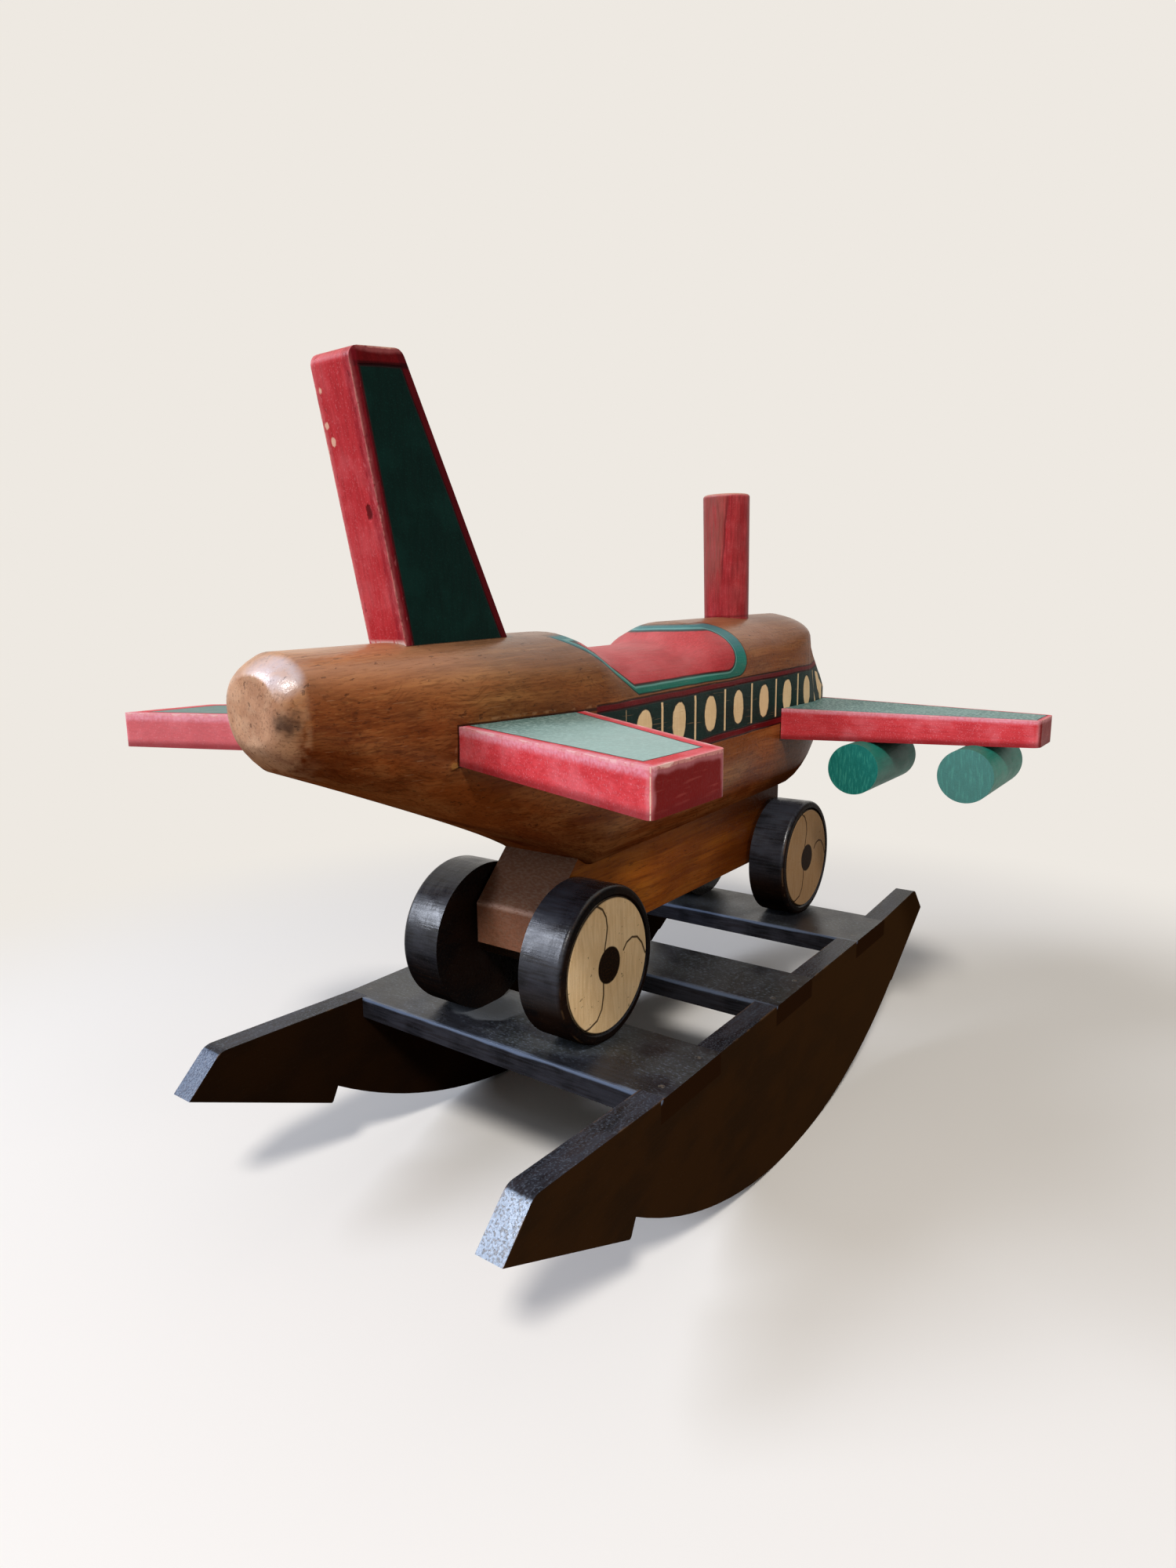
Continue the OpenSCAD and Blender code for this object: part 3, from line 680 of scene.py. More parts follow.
        # bloom holds the painted highlight: pale bluish colour where the tail cap faces the key lamp
        bloom = lit.over(0.86, 0.1) * c.x.under(self.tail_face + 23.0, 10.0)
        bloom = bloom * (cloud.over(0.42, 0.2) * 0.5 + 0.5)
        c.lay(bloom * 0.6, "#CBC8D8")

        # Painted shade round the feet of the boards, a dark gap line and a rubbed pale rim at each, and glue
        # squeezed out of one
        side = abs(c.y)
        rear, front, under, half_width = self.fin_foot
        feet = [(side - half_width).most(rear - x).most(x - front).most(under - c.z)]
        for rear, front, under, over, root in self.board_feet:
            foot = (rear - x).most(x - front).most(under - c.z).most(c.z - over)
            feet.append(foot.most(root - side))
        rim = c.mottle(7.0, 29.0, 3.0)
        for gap in feet:
            # Painted shade on the wood round each foot
            c.lay(gap.under(9.0, 9.0) * rim * 0.5, "#2E1408")
            c.lay(gap.near(2.6, 1.8, 0.8) * rim.over(0.58, 0.06) * 0.25, "#C89A70")
            c.lay(gap.near(0.2, 2.2, 0.5) * 0.85, "#1C0C08")
        glue = span(x - self.glue[0], (c.z - self.glue[1]) * 1.2) + (rim - 0.5) * 7.0
        on_flank = side.over(34.0)
        c.lay(glue.under(2.2, 0.8) * on_flank * 0.7, "#C08A48")
        c.cut(glue.under(3.0, 1.2) * on_flank, -0.8)

        # Near-black green band with a dark red stripe along each side of it
        BOTTLE_GREEN.lay(c, along * hand_h.between(low, high), Grain.ALONG_X, 12.0)
        top, foot = high + self.upper_stripe, low - self.lower_stripe
        stripes = along * (hand_h.between(high, top) + hand_h.between(foot, low))
        SHADED_CRIMSON.lay(c, stripes, Grain.ALONG_X, 14.0)
        for level in (foot, low, high, top):
            lines = lines + along * hand_h.near(level, 1.3, 0.5)

        # Cream dividers and oval windows between them, a little closer together round the nose
        flank_cells = (self.nose_from - self.first_divider) / self.pitch
        cells = ((s - self.first_divider) / self.pitch).least(flank_cells)
        cells = cells + (s - self.nose_from).most(0.0) / self.nose_pitch
        jitter = c.mottle(37.0, 15.0, 1.0, (1.0, 1.0, 3.0)) - 0.5
        ragged = c.mottle(5.0, 16.0, 2.0) - 0.5
        from_centre = (cells.fraction() - 0.5) * self.pitch
        divider = abs(from_centre).over(self.pitch / 2 - self.divider / 2, 0.4)
        divider = divider * hand_h.between(low + 1.5, high - 1.5)
        oval_x = (from_centre + jitter * 5.0) / self.oval[0]
        oval_h = (h - middle + jitter * 4.0) / self.oval[1]
        oval = (abs(oval_x) ** 2.3 + abs(oval_h) ** 2.3) ** 0.45 + ragged * 0.16
        windows = along * cells.over(0.02, 0.01) * (divider + oval.under(1.0, 0.04)).least(1.0)
        CREAM.lay(c, windows * 0.96, Grain.ALONG_Z, 17.0)
        lines = lines + along * oval.near(1.05, 0.07, 0.05) * 0.5

        # Painted saddle: teal border, a thin painted highlight on the lip of the groove, dark line and worn
        # crimson seat
        edge_wander = c.wander(2.0, 45.0, 18.0, 1.0)
        outer = self.saddle_edge(x, h, 0.0, 0.0, 0.0, 0.0) + edge_wander
        inner = self.saddle_edge(x, h, *self.seat_inset) + edge_wander
        border, seat = outer.under(0.0, 0.4), inner.under(0.0, 0.4)
        TEAL.lay(c, border, Grain.ALONG_X, 19.0)
        c.lay(border * h.under(256.0, 8.0) * 0.5, "#1C5244")
        c.lay(border * h.over(266.0, 12.0) * 0.6, "#176070")
        # Painted highlight on the lip of the groove, on the border just outside the dark line
        c.lay(inner.near(2.0, 1.2, 0.5) * 0.45, "#7FB3AC")
        CRIMSON.lay(c, seat, Grain.ALONG_X, 21.0)
        polish = inner.under(-8.0, 14.0) * c.mottle(40.0, 23.0, 2.0, (2.0, 1.0, 1.0)).over(0.5, 0.15)
        c.lay(polish * 0.18, "#C8646A")
        c.lay(seat * h.under(272.0, 10.0) * 0.25, "#8A2024")
        lines = lines + inner.near(0.4, 1.5, 0.5) + outer.near(0.2, 1.2, 0.6) * 0.8

        # Dark incised lines, nicks and curled grain in the bare wood, and fine scratches over all
        c.incise(lines.least(1.0), 0.9, "#1E0A0A", 0.5)
        painted = (along * hand_h.between(foot, top) + border).least(1.0)
        bare_wood = 1.0 - painted
        nick = c.mottle(2.6, 34.0, 3.0, (3.0, 1.0, 1.4)).over(0.69, 0.02) * bare_wood
        c.incise(nick, 0.5, "#2A1206", 0.2)
        curl = c.mottle(1.6, 35.0, 2.0, (18.0, 1.0, 1.0), c.swirled(18.0, 46.0, 9.2)).over(0.6, 0.05)
        c.lay(curl * bare_wood * c.facing_z.under(0.45, 0.3) * 0.3, "#331506")
        scratch = c.mottle(1.0, 25.0, 1.0, (26.0, 3.0, 1.0)).over(0.74, 0.02)
        c.lay(scratch * 0.18, "#C9A27A")
        rough = c.mottle(30.0, 27.0, 3.0, (2.0, 1.0, 1.0))
        # The tail cap's painted highlight also gets more gloss
        gloss = (c.shine(0.08, 0.6) * (1.0 - x.over(90.0, 50.0) * 0.6) + bloom).least(1.0)
        return c.dressed(rough * 0.2 + painted * 0.12 + 0.22, gloss)

    def build(self, frame: dict) -> None:
        """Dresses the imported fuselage."""
        dress(frame, ["fuselage"], self.finish(), keep=38.0)


@dataclass(frozen=True)
class Keel:
    """The square block under the fuselage: orange-brown sides, dull slope and end."""

    top: float = 261.7
    lip: float = 227.7
    varnish: HoneyVarnish = HoneyVarnish("#A85A14", "#6A3208", "#BE7A2A", pith=(-60.0, 180.0))

    def finish(self) -> Material:
        """Finishes the keel.

        Returns:
            The finished material.
        """
        c = Canvas("stained_hardwood_keel", self.varnish.honey)
        self.varnish.lay(c, Grain.ALONG_X)
        x = c.x - ROCKER_MIDDLE
        end = c.facing_x.under(-0.45, 0.1)
        slope = end * c.facing_z.over(0.2, 0.1)
        scrape = c.mottle(1.4, 31.0, 3.0, (1.0, 2.5, 1.0))
        # Painted shade along the bottom and under the body's belly, and darker towards the front
        c.lay(c.z.under(226.0, 14.0) * 0.3 + c.z.over(self.top - 10.0, 8.0) * 0.4, "#3E1606")
        c.lay(x.over(80.0, 90.0) * 0.8, "#340F04")
        c.lay(end * 0.92, "#6A4A38")
        c.lay(end * scrape.over(0.54, 0.14) * 0.45, "#85705F")
        c.relief = c.relief + scrape * end * 0.3
        grain_spots = c.mottle(1.6, 32.0, 3.0, (1.0, 1.0, 1.4))
        c.lay((end - slope) * (grain_spots.over(0.5, 0.14) * 0.4 + 0.35), "#8A5A44")
        # Painted highlight: a pale line along the edge where the slope meets the end
        lip = end * c.z.near(self.lip, 3.0, 1.5)
        c.lay(lip * scrape.over(0.38, 0.12) * 0.85, "#B08E7C")
        rough = c.mottle(22.0, 33.0, 2.0)
        return c.dressed(rough * 0.2 + end * 0.12 + 0.28, 0.03)

    def build(self, frame: dict) -> None:
        """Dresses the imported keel."""
        dress(frame, ["keel_block"], self.finish(), 1.6)


@dataclass(frozen=True)
class Fin:
    """The raked fin: crimson edges and a bottle-green panel on each side."""

    foot: Pair = (-284.0, -190.0)
    head: Pair = (-318.0, -278.0)
    foot_z: float = 421.3
    head_z: float = 591.3
    head_fall: float = 6.0
    half_width: float = 16.0
    borders: Triple = (6.0, 5.5, 10.0)
    softness: float = 6.0
    glue_top: float = 427.0
    chips: tuple[tuple[float, ...], ...] = ((538.9, 9.9, 2.4), (548.0, 12.8, 1.6), (566.0, 12.0, 1.4))
    dent: Pair = (500.6, -7.5)

    def finish(self) -> Material:
        """Paints the fin.

        Returns:
            The finished material.
        """
        c = Canvas("crimson_enamel_fin", CRIMSON.colour)
        x = c.x - ROCKER_MIDDLE
        corner, peak = (self.head[0], self.head_z - self.head_fall), (self.head[1], self.head_z)
        rear = beyond(x, c.z, corner, (self.foot[0], self.foot_z))
        front = beyond(x, c.z, (self.foot[1], self.foot_z), peak)
        top = beyond(x, c.z, peak, corner)
        side = self.half_width - abs(c.y)
        CRIMSON.lay(c, 1.0, Grain.RAKED, 41.0)
        face = abs(c.facing_y).over(0.7, 0.1)
        past = [wall - border for wall, border in zip((rear, front, top), self.borders)]
        inset = past[0].least(past[1]).least(past[2]) + c.wander(1.6, 30.0, 43.0, 1.0)
        panel = face * inset.over(0.0, 0.3)
        SHADED_CRIMSON.lay(c, face, Grain.RAKED, 44.0)
        BOTTLE_GREEN.lay(c, panel, Grain.RAKED, 45.0)
        c.incise(face * inset.near(0.0, 1.2, 0.4), 0.9, "#160506", 0.4)
        c.lay(face * past[1].under(0.0, 0.8) * 0.5, "#3E0D14")
        # Painted shadow: a dark band along the top of the panel, under the border
        c.lay(face * past[2].between(-2.2, 0.8, 0.8) * 0.8, "#1C0608")

        # Edges rubbed by hands and nicked, painted shade on the starboard rounding of the rear edge, and
        # glue smeared at the foot
        CRIMSON.rub(c, (rear, top, side), 2.0, 46.0)
        scrape = c.mottle(2.4, 48.0, 3.0, (1.0, 1.0, 2.6))
        crest = c.rubbed((rear, side), 6.0, 2.0)
        # Painted shade: darker crimson on the starboard rounding, which turns away from the light
        c.lay(crest * (scrape.over(0.5, 0.16) * 0.3 + 0.3) * c.y.under(0.0, 6.0), "#7E1A26")
        c.lay(crest * scrape.under(0.33, 0.04) * 0.22, "#D98488")
        glue = c.z.under(self.glue_top, 1.5) * (1.0 - face) * scrape.over(0.4, 0.06)
        c.lay(glue * 0.7, "#E4CFC4")
        c.relief = c.relief + crest * scrape * 0.4
        c.incise(scrape.over(0.68, 0.03) * crest, 0.35, "#4A1014", 0.2)

        # Chips through to the wood, and one dent, on the rear face
        for up, across, size in self.chips:
            chip = span(c.z - up, (c.y - across) * 1.2) + (scrape - 0.5) * 4.0
            c.lay((1.0 - face) * chip.under(size, 0.5) * 0.85, "#E2B49C")
        up, across = c.z - self.dent[0], c.y - self.dent[1]
        dent = (up**2.0 * 0.2 + across**2.0).root() + (scrape - 0.5) * 3.0
        c.lay(dent.under(1.8, 0.5) * 0.8, "#3E0F12")
        c.cut(dent.under(2.0, 0.6), 1.0)
        rough = c.mottle(14.0, 50.0, 3.0) * 0.2 + 0.3
        return c.dressed(rough - panel * 0.1, c.shine(0.02, 0.35))

    def build(self, frame: dict) -> None:
        """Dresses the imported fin."""
        dress(frame, ["tail_fin"], self.finish(), self.softness, 4)


@dataclass(frozen=True)
class Board:
    """A wing or stabiliser: crimson edges and a weathered teal top with a crimson border.

    The plan gives places of the port board: trailing root, leading root, leading tip, trailing tip.
    One material serves both sides, since it reads the distance from the middle. Fading and sheen say
    how pale the panel's outer part is, partly faded paint and partly painted sheen, and age how much
    the port board's tone has shifted and how far the trailing corners are worn.
    """

    title: str
    plan: tuple[Pair, ...]
    top: float
    root_under: float
    tip_under: float
    borders: Triple
    softness: float
    fading_and_sheen: float
    age: float
    seed: float

    def finish(self) -> Material:
        """Paints the board.

        Returns:
            The finished material.
        """
        c = Canvas(f"crimson_and_teal_enamel_{self.title}", LIT_CRIMSON.colour)
        x, out = c.x - ROCKER_MIDDLE, abs(c.y)
        root_rear, root_front, tip_front, tip_rear = self.plan
        rear = beyond(x, out, tip_rear, root_rear)
        front = beyond(x, out, root_front, tip_front)
        tip = tip_rear[1] - out
        above = self.top - c.z
        reach = tip_rear[1] - root_rear[1]
        slope = (self.tip_under - self.root_under) / reach
        below = c.z - (out * slope + (self.root_under - slope * root_rear[1]))
        LIT_CRIMSON.lay(c, 1.0, Grain.ALONG_Y, self.seed)
        rear_border, front_border, tip_border = self.borders
        inset = (rear - rear_border).least(front - front_border).least(tip - tip_border)
        inset = inset + c.wander(1.8, 30.0, self.seed + 2.0, 1.0)
        upper = c.facing_z.over(0.75, 0.1)
        panel = upper * inset.over(0.0, 0.3)
        WEATHERED_TEAL.lay(c, panel, Grain.ALONG_Y, self.seed + 3.0)
        outward = out.over(root_rear[1] + reach * 0.26, reach * 0.4)
        # Paler outer panel: partly faded paint, partly painted sheen
        c.lay(panel * outward * self.fading_and_sheen, "#B2CAC2")
        c.lay(panel * (1.0 - outward) * (0.6 - self.fading_and_sheen * 0.5), "#2C5560")
        speck = c.mottle(2.2, self.seed + 5.0, 3.0)
        c.lay(panel * speck.over(0.54, 0.08) * 0.6, "#A9C4BC")
        c.lay(panel * c.y.over(0.0) * self.age * 0.7, "#2E5348")
        c.incise(upper * inset.near(0.0, 1.1, 0.4), 0.85, "#230A0C", 0.4)

        # Tips in shade, dragged over, a dark lower edge, a painted highlight along the upper rear edge, and
        # corners rubbed pale and to bare wood
        tip_face = c.facing_y * c.y.over(0.0, 0.1) - c.facing_y * c.y.under(0.0, 0.1)
        c.lay((1.0 - upper) * c.y.over(0.0) * self.age * 0.45, "#C98A90")
        c.lay(tip_face.over(0.75, 0.15) * 0.9, "#66100C")
        dragged = c.mottle(1.2, self.seed + 13.0, 2.0, (20.0, 1.0, 2.0))
        c.lay(tip_face.over(0.7, 0.1) * dragged.over(0.62, 0.06) * 0.3, "#A8504A")
        LIT_CRIMSON.rub(c, (rear, front, tip, above), self.softness, self.seed + 7.0)
        c.lay(abs(below).under(4.0, 2.5) * (1.0 - upper) * 0.65, "#6A1618")
        # Painted highlight, pinkish white, along the rounded upper rear edge
        polished = c.rubbed((rear, above), self.softness, 2.5) * (speck.over(0.5, 0.2) * 0.4 + 0.2)
        c.lay(polished, "#F0A9BA")
        c.lay(c.rubbed((rear, tip), 1.5, 0.3) * speck.over(0.36, 0.06) * self.age, "#F4DCC8")
        rough = c.mottle(16.0, self.seed + 11.0, 3.0) * 0.22 + 0.28
        return c.dressed(rough, 0.02)

    def build(self, frame: dict) -> None:
        """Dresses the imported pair."""
        names = (f"left_{self.title}", f"right_{self.title}")
        dress(frame, names, self.finish(), self.softness, 4)


@dataclass(frozen=True)
class Engines:
    """The four round engine blocks in thin teal paint that shows their grain."""

    outer_from: float = 170.0

    def finish(self) -> Material:
        """Paints the engines.

        Returns:
            The finished material.
        """
        c = Canvas("thin_teal_enamel_on_end_grain", TEAL.colour)
        TEAL.lay(c, 1.0, Grain.ALONG_X, 61.0)
        end = c.facing_x.under(-0.8, 0.1)
        grain = c.mottle(1.5, 63.0, 3.0, (1.0, 1.0, 7.0), c.swirled(4.0, 30.0, 2.0))
        c.lay(end * 0.5, "#258A84")
        c.lay(end * grain.over(0.5, 0.1) * 0.4, "#14645A")
        c.lay(end * grain.under(0.4, 0.05) * 0.5, "#45A08C")
        c.lay(end * abs(c.y).over(self.outer_from, 8.0) * 0.4, "#6E8A86")
        c.relief = c.relief + grain * 0.25 * end
        rough = c.mottle(9.0, 64.0, 2.0) * 0.2 + 0.36
        return c.dressed(rough, 0.12)

    def build(self, frame: dict) -> None:
        """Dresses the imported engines."""
        names = (f"{side}_{row}_engine" for side in ("left", "right") for row in ("outer", "inner"))
        dress(frame, names, self.finish(), 1.2)


@dataclass(frozen=True)
class HandlePeg:
    """The round crimson peg, worn by hands.

    Aside points ahead and to starboard, from the handled side of the peg to the shaded one.
    """

    x: float = 155.0
    foot_z: float = 379.8
    length: float = 172.0
    radius: float = 21.9
    lean: float = 2.0
    aside: Pair = (0.588, 0.809)
    knock: float = 58.5

    def finish(self) -> Material:
        """Paints the peg.

        Returns:
            The finished material.
        """
        c = Canvas("crimson_enamel_peg", CRIMSON.colour)
        CRIMSON.lay(c, 1.0, Grain.ALONG_Z, 71.0)
        cos, sin = math.cos(math.radians(self.lean)), math.sin(math.radians(self.lean))
        x, z = c.x - ROCKER_MIDDLE - self.x, c.z - self.foot_z
        ahead, up = x * cos + z * sin, z * cos - x * sin
        cloud = c.mottle(9.0, 77.0, 3.0, (1.0, 1.0, 2.5))
        c.lay(cloud.over(0.46, 0.16) * 0.35 + 0.18, "#6E161A")

        # The rear left side is handled down to brown, with a dark slanting crack beside it
        wander = c.wander(8.0, 20.0, 72.0, 2.0, (1.0, 1.0, 2.0))
        aside = ahead * self.aside[0] - c.y * self.aside[1] + wander + (up - self.length) * -0.07
        grain = c.mottle(1.6, 73.0, 3.0, (1.0, 1.0, 16.0))
        handled = aside.under(-3.0, 3.0) * up.over(90.0, 30.0)
        c.lay(handled * (grain.over(0.46, 0.14) * 0.4 + 0.25), "#8A5A50")
        c.lay(aside.near(-2.0, 1.6, 1.0) * up.over(96.0, 12.0) * 0.6, "#4A1A1C")
        c.lay(grain.over(0.56, 0.1) * 0.4, "#6E1A1E")
        shaded = (c.facing_x * 0.59 - c.facing_y * 0.81).over(0.84, 0.16)
        c.lay(shaded * 0.55, "#4E0F14")
        c.relief = c.relief + grain * 0.3

        # Bare rubbed top, a knock round the middle and rubbed edges
        c.lay(up.over(self.length - 1.5, 0.5) * 0.8, "#A98A6E")
        c.lay(up.near(self.knock, 2.0, 1.0) * 0.6, "#5A1216")
        CRIMSON.rub(c, (self.radius - span(ahead, c.y), self.length - up), 3.0, 74.0)
        rough = c.mottle(12.0, 76.0, 3.0, (1.0, 1.0, 3.0)) * 0.24 + 0.24
        return c.dressed(rough, c.shine(0.08, 0.4))

    def build(self, frame: dict) -> None:
        """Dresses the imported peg."""
        dress(frame, ["handle_peg"], self.finish())


@dataclass(frozen=True)
class Wheels:
    """Block wheels in black lacquer with a cream disc of swirling incised lines, and their axles."""

    rear_x: float = -160.0
    front_x: float = 192.0
    axle_z: float = 196.7
    radius: float = 57.5
    disc: float = 49.2
    face: float = 75.0
    hub: float = 13.1
    swirls: tuple[tuple[Pair, ...], ...] = (
        ((-26.4, 46.7), (-15.3, 47.7), (-7.8, 43.1), (-3.6, 36.6), (-2.1, 28.5), (-3.8, 19.7), (-5.7, 12.6)),
        ((-7.2, -9.1), (-7.3, -19.7), (-9.6, -30.0), (-15.3, -36.5), (-24.9, -39.0), (-31.0, -39.0)),
        ((18.2, 5.9), (22.3, 10.2), (29.3, 12.2), (36.3, 10.4), (42.6, 4.0), (47.0, -5.0)),
    )
    lacquer: BlackLacquer = BlackLacquer()

    def from_stroke(self, u: Field, v: Field, points: tuple[Pair, ...]) -> Field:
        """Distance from a line through a few places, in millimetres.

        Args:
            u: Place along the wheel's face, forward of its centre.
            v: Place above its centre.
            points: The places that the line goes through.

        Returns:
            The distance over the surface.
        """
        nearest: Value = FAR
        for (u0, v0), (u1, v1) in zip(points, points[1:]):
            du, dv = u1 - u0, v1 - v0
            square = du * du + dv * dv
            share = ((u - u0) * (du / square) + (v - v0) * (dv / square)).most(0.0).least(1.0)
            nearest = span(u - u0 - share * du, v - v0 - share * dv).least(nearest)
        return nearest

    def finish(self, title: str, centre_x: float) -> Material:
        """Finishes the wheels on one axle.

        Args:
            title: The axle's word in the names of pieces.
            centre_x: Place of the axle along X, in millimetres from the rockers' middle.

        Returns:
            The finished material.
        """
        c = Canvas(f"black_lacquer_wheel_{title}", self.lacquer.black)
        u = c.x - (ROCKER_MIDDLE + centre_x)
        v = c.z - self.axle_z
        out = (u * u + v * v).root()
        turn = v.angle(u)
        brushed = c.add("ShaderNodeCombineXYZ", {}, {0: turn * 9.0, 1: c.y, 2: out * 0.3})
        rough = self.lacquer.lay(c, Grain.ALONG_Y, 81.0 + centre_x * 0.01, 0.3)
        hairline = c.mottle(1.3, 83.0, 3.0, (0.45, 14.0, 1.0), brushed)
        rough = rough + (hairline - 0.5) * 0.3
        facets = c.mottle(6.0, 82.0, 2.0, (0.6, 1.6, 1.0), brushed)
        c.relief = c.relief + hairline * 0.16 + facets * 0.5
        outer = abs(c.y).over(self.face - 1.2, 0.4)
        ragged = c.wander(1.2, 9.0, 84.0, 2.0)
        disc = outer * (out + ragged).between(self.hub, self.disc, 0.3)
        CREAM.lay(c, disc, Grain.ALONG_Z, 85.0)
        pit = c.mottle(3.2, 87.0, 2.0).over(0.72, 0.02)
        c.lay(disc * pit * 0.6, "#5E4426")
        wood = c.mottle(2.6, 88.0, 3.0, (1.0, 1.0, 10.0), c.swirled(5.0, 40.0, 5.0))
        c.lay(disc * wood.over(0.53, 0.1) * 0.16, "#B08A55")
        # Painted shade: the front wheels' discs darker, under the wings
        c.lay(disc * c.x.over(0.0) * 0.75, "#70492A")
        strokes: Value = FAR
        for points in self.swirls:
            strokes = self.from_stroke(u, v, points).least(strokes)
        c.incise(disc * strokes.under(0.75, 0.3), 0.9, "#2A1508", 0.5)
        c.lay(outer * out.near(self.disc, 1.6, 0.4), "#0D0B0B")
        c.lay(outer * out.near(self.hub, 1.0, 0.3) * 0.8, "#1C0F08")
        rim = c.rubbed((self.radius - out, self.face - abs(c.y)), 1.6)
        self.lacquer.rub(c, rim, 89.0)
        gloss = c.shine(0.06, 0.42) * (1.0 - outer * 0.8)
        return c.dressed(rough + disc * 0.22, gloss)

    def axle_finish(self) -> Material:
        """Finishes the axles, whose ends show as brown-black hub dots.

        Returns:
            The finished material.
        """
        c = Canvas("brown_black_stain_on_dowel", "#1B120C")
        spots = c.mottle(1.4, 91.0, 3.0)
        c.lay(spots.over(0.55, 0.1) * 0.5, "#3A2414")
        c.relief = spots * 0.15
        return c.dressed(spots * 0.2 + 0.34, 0.01)

    def build(self, frame: dict) -> None:
        """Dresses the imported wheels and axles.
        """
        axle = self.axle_finish()
        for title, centre in (("rear", self.rear_x), ("front", self.front_x)):
            names = (f"{title}_left_wheel", f"{title}_right_wheel")
            dress(frame, names, self.finish(title, centre))
            dress(frame, [f"{title}_axle"], axle)


@dataclass(frozen=True)
class Rocker:
    """The two runners and the three planks between them in black lacquer rubbed through to brown."""

    half_span: float = 150.0
    board: float = 19.0
    tip: Pair = (-364.0, 337.0)
    tip_cut: float = 26.0
    tip_rise: float = 5.0
    level_to: float = 207.0
    planks: tuple[tuple[str, float, float], ...] = (
        ("rear_plank", -172.0, 80.0),
        ("middle_plank", -5.0, 70.0),
        ("front_plank", 174.0, 78.0),
    )
    nail_in: float = 9.5
    nail_side: float = 0.3
    nail_fill: float = 2.2
    worn_spot: Pair = (-158.0, 40.0)
    lacquer: BlackLacquer = BlackLacquer()

    def runner(self) -> Material:
        """Finishes the runners.

        Returns:
            The finished material.
        """
        c = Canvas("black_lacquer_runner", self.lacquer.black)
        x = c.x - ROCKER_MIDDLE
        flat = c.facing_y * c.facing_y
        rough = self.lacquer.lay(c, Grain.ALONG_X, 101.0, 0.85)
        c.lay(abs(c.facing_y).over(0.8, 0.1) * (x.over(60.0, 260.0) * 0.4 + 0.5), "#3A2614")
        speck = c.mottle(1.5, 104.0, 3.0)
        # Painted highlight: bluish speckled reflection on the cut faces of the tips, darker on the port
        # runner
        cut = abs(c.facing_x).between(0.5, 0.9, 0.08) * c.facing_z.over(0.4, 0.1)
        c.lay(cut * speck.over(0.46, 0.1) * 0.75, "#90A6C2")
        c.lay(cut * c.y.over(0.0) * 0.75, "#36445E")
        c.relief = c.relief + speck * cut * 0.5
        # Painted sheen: bluish grey specks on the upper faces
        c.lay(c.facing_z.over(0.7, 0.1) * speck.over(0.58, 0.05) * 0.4, "#5E6774")

        # Inner faces in shade, and every edge worn brown
        faces = self.board / 2 - abs(abs(c.y) - (self.half_span - self.board / 2))
        (rear_x, front_x), top = self.tip, PLANK_TOP + self.tip_rise
        rise = self.tip_rise / (front_x - self.tip_cut - self.level_to)
        deck = PLANK_TOP + (abs(x) - self.level_to).most(0.0) * rise - c.z
        rear = beyond(x, c.z, (rear_x + self.tip_cut, top), (rear_x, top - self.tip_cut))
        front = beyond(x, c.z, (front_x, top - self.tip_cut), (front_x - self.tip_cut, top))
        c.lay((c.facing_y * c.y).under(-80.0, 30.0) * 0.55, "#080302")
        self.lacquer.rub(c, c.rubbed((faces, deck, rear, front), 0.9), 105.0)
        gloss = c.shine(0.0, 0.12) + cut * (0.9 - c.y.over(0.0) * 0.65)
        return c.dressed(rough + flat * 0.06 + cut * 0.04, gloss)

    def plank(self) -> Material:
        """Finishes the planks, with the filled nail holes at their ends.

        Returns:
            The finished material.
        """
        c = Canvas("black_lacquer_plank", self.lacquer.black)
        x = c.x - ROCKER_MIDDLE
        rough = self.lacquer.lay(c, Grain.ALONG_Y, 111.0, 0.25)
        wear = c.mottle(36.0, 113.0, 4.0, (1.0, 1.6, 1.0))
        upper = c.facing_z.over(0.8, 0.1)
        c.lay(abs(c.facing_y).over(0.8, 0.1) * 0.9, "#2A180B")
        # Painted highlight: a bluish line along the rear top edge of each plank
        edge: Value = FAR
        for _, middle, width in self.planks:
            edge = abs(x - (middle - width / 2)).least(edge)
        edge = c.rubbed((edge, c.z - PLANK_TOP), wear * 4.0 + 0.4, 1.2)
        c.lay(edge * 0.6, "#7C8CA8")
        c.lay(upper * wear.over(0.5, 0.1) * 0.4, "#444844")
        c.lay(upper * wear.under(0.46, 0.08) * 0.6, "#101114")
        ahead = x.over(-110.0, 30.0) * 0.35
        c.lay(upper * ahead, "#15110E")
        spot = span(x - self.worn_spot[0], (c.y - self.worn_spot[1]) * 0.7) + (wear - 0.5) * 40.0
        c.lay(upper * spot.under(26.0, 3.0) * 0.6, "#6A6E72")

        # Filled nail holes and fine scuffs
        dots: Value = 0.0
        from_end = abs(c.y) - (self.half_span - self.nail_in)
        for _, middle, width in self.planks:
            for s in (-self.nail_side, self.nail_side):
                dots = dots + span(x - middle - s * width, from_end).under(self.nail_fill, 0.3)
        patchy = c.mottle(2.0, 117.0, 2.0)
        c.lay(upper * dots * patchy.over(0.48, 0.1) * 0.55, "#6E655A")
        scuff = c.mottle(1.3, 118.0, 3.0, (1.0, 2.4, 1.0)).over(0.6, 0.04)
        c.lay(upper * scuff * wear.over(0.44, 0.12) * 0.5, "#68727F")
        c.cut(upper * dots, 0.25)
        return c.dressed(rough + upper * wear * 0.16, c.shine(0.0, 0.5))

    def build(self, frame: dict) -> None:
        """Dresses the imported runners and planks."""
        dress(frame, ("left_rocker", "right_rocker"), self.runner(), 0.9)
        dress(frame, (name for name, _, _ in self.planks), self.plank(), 1.0)


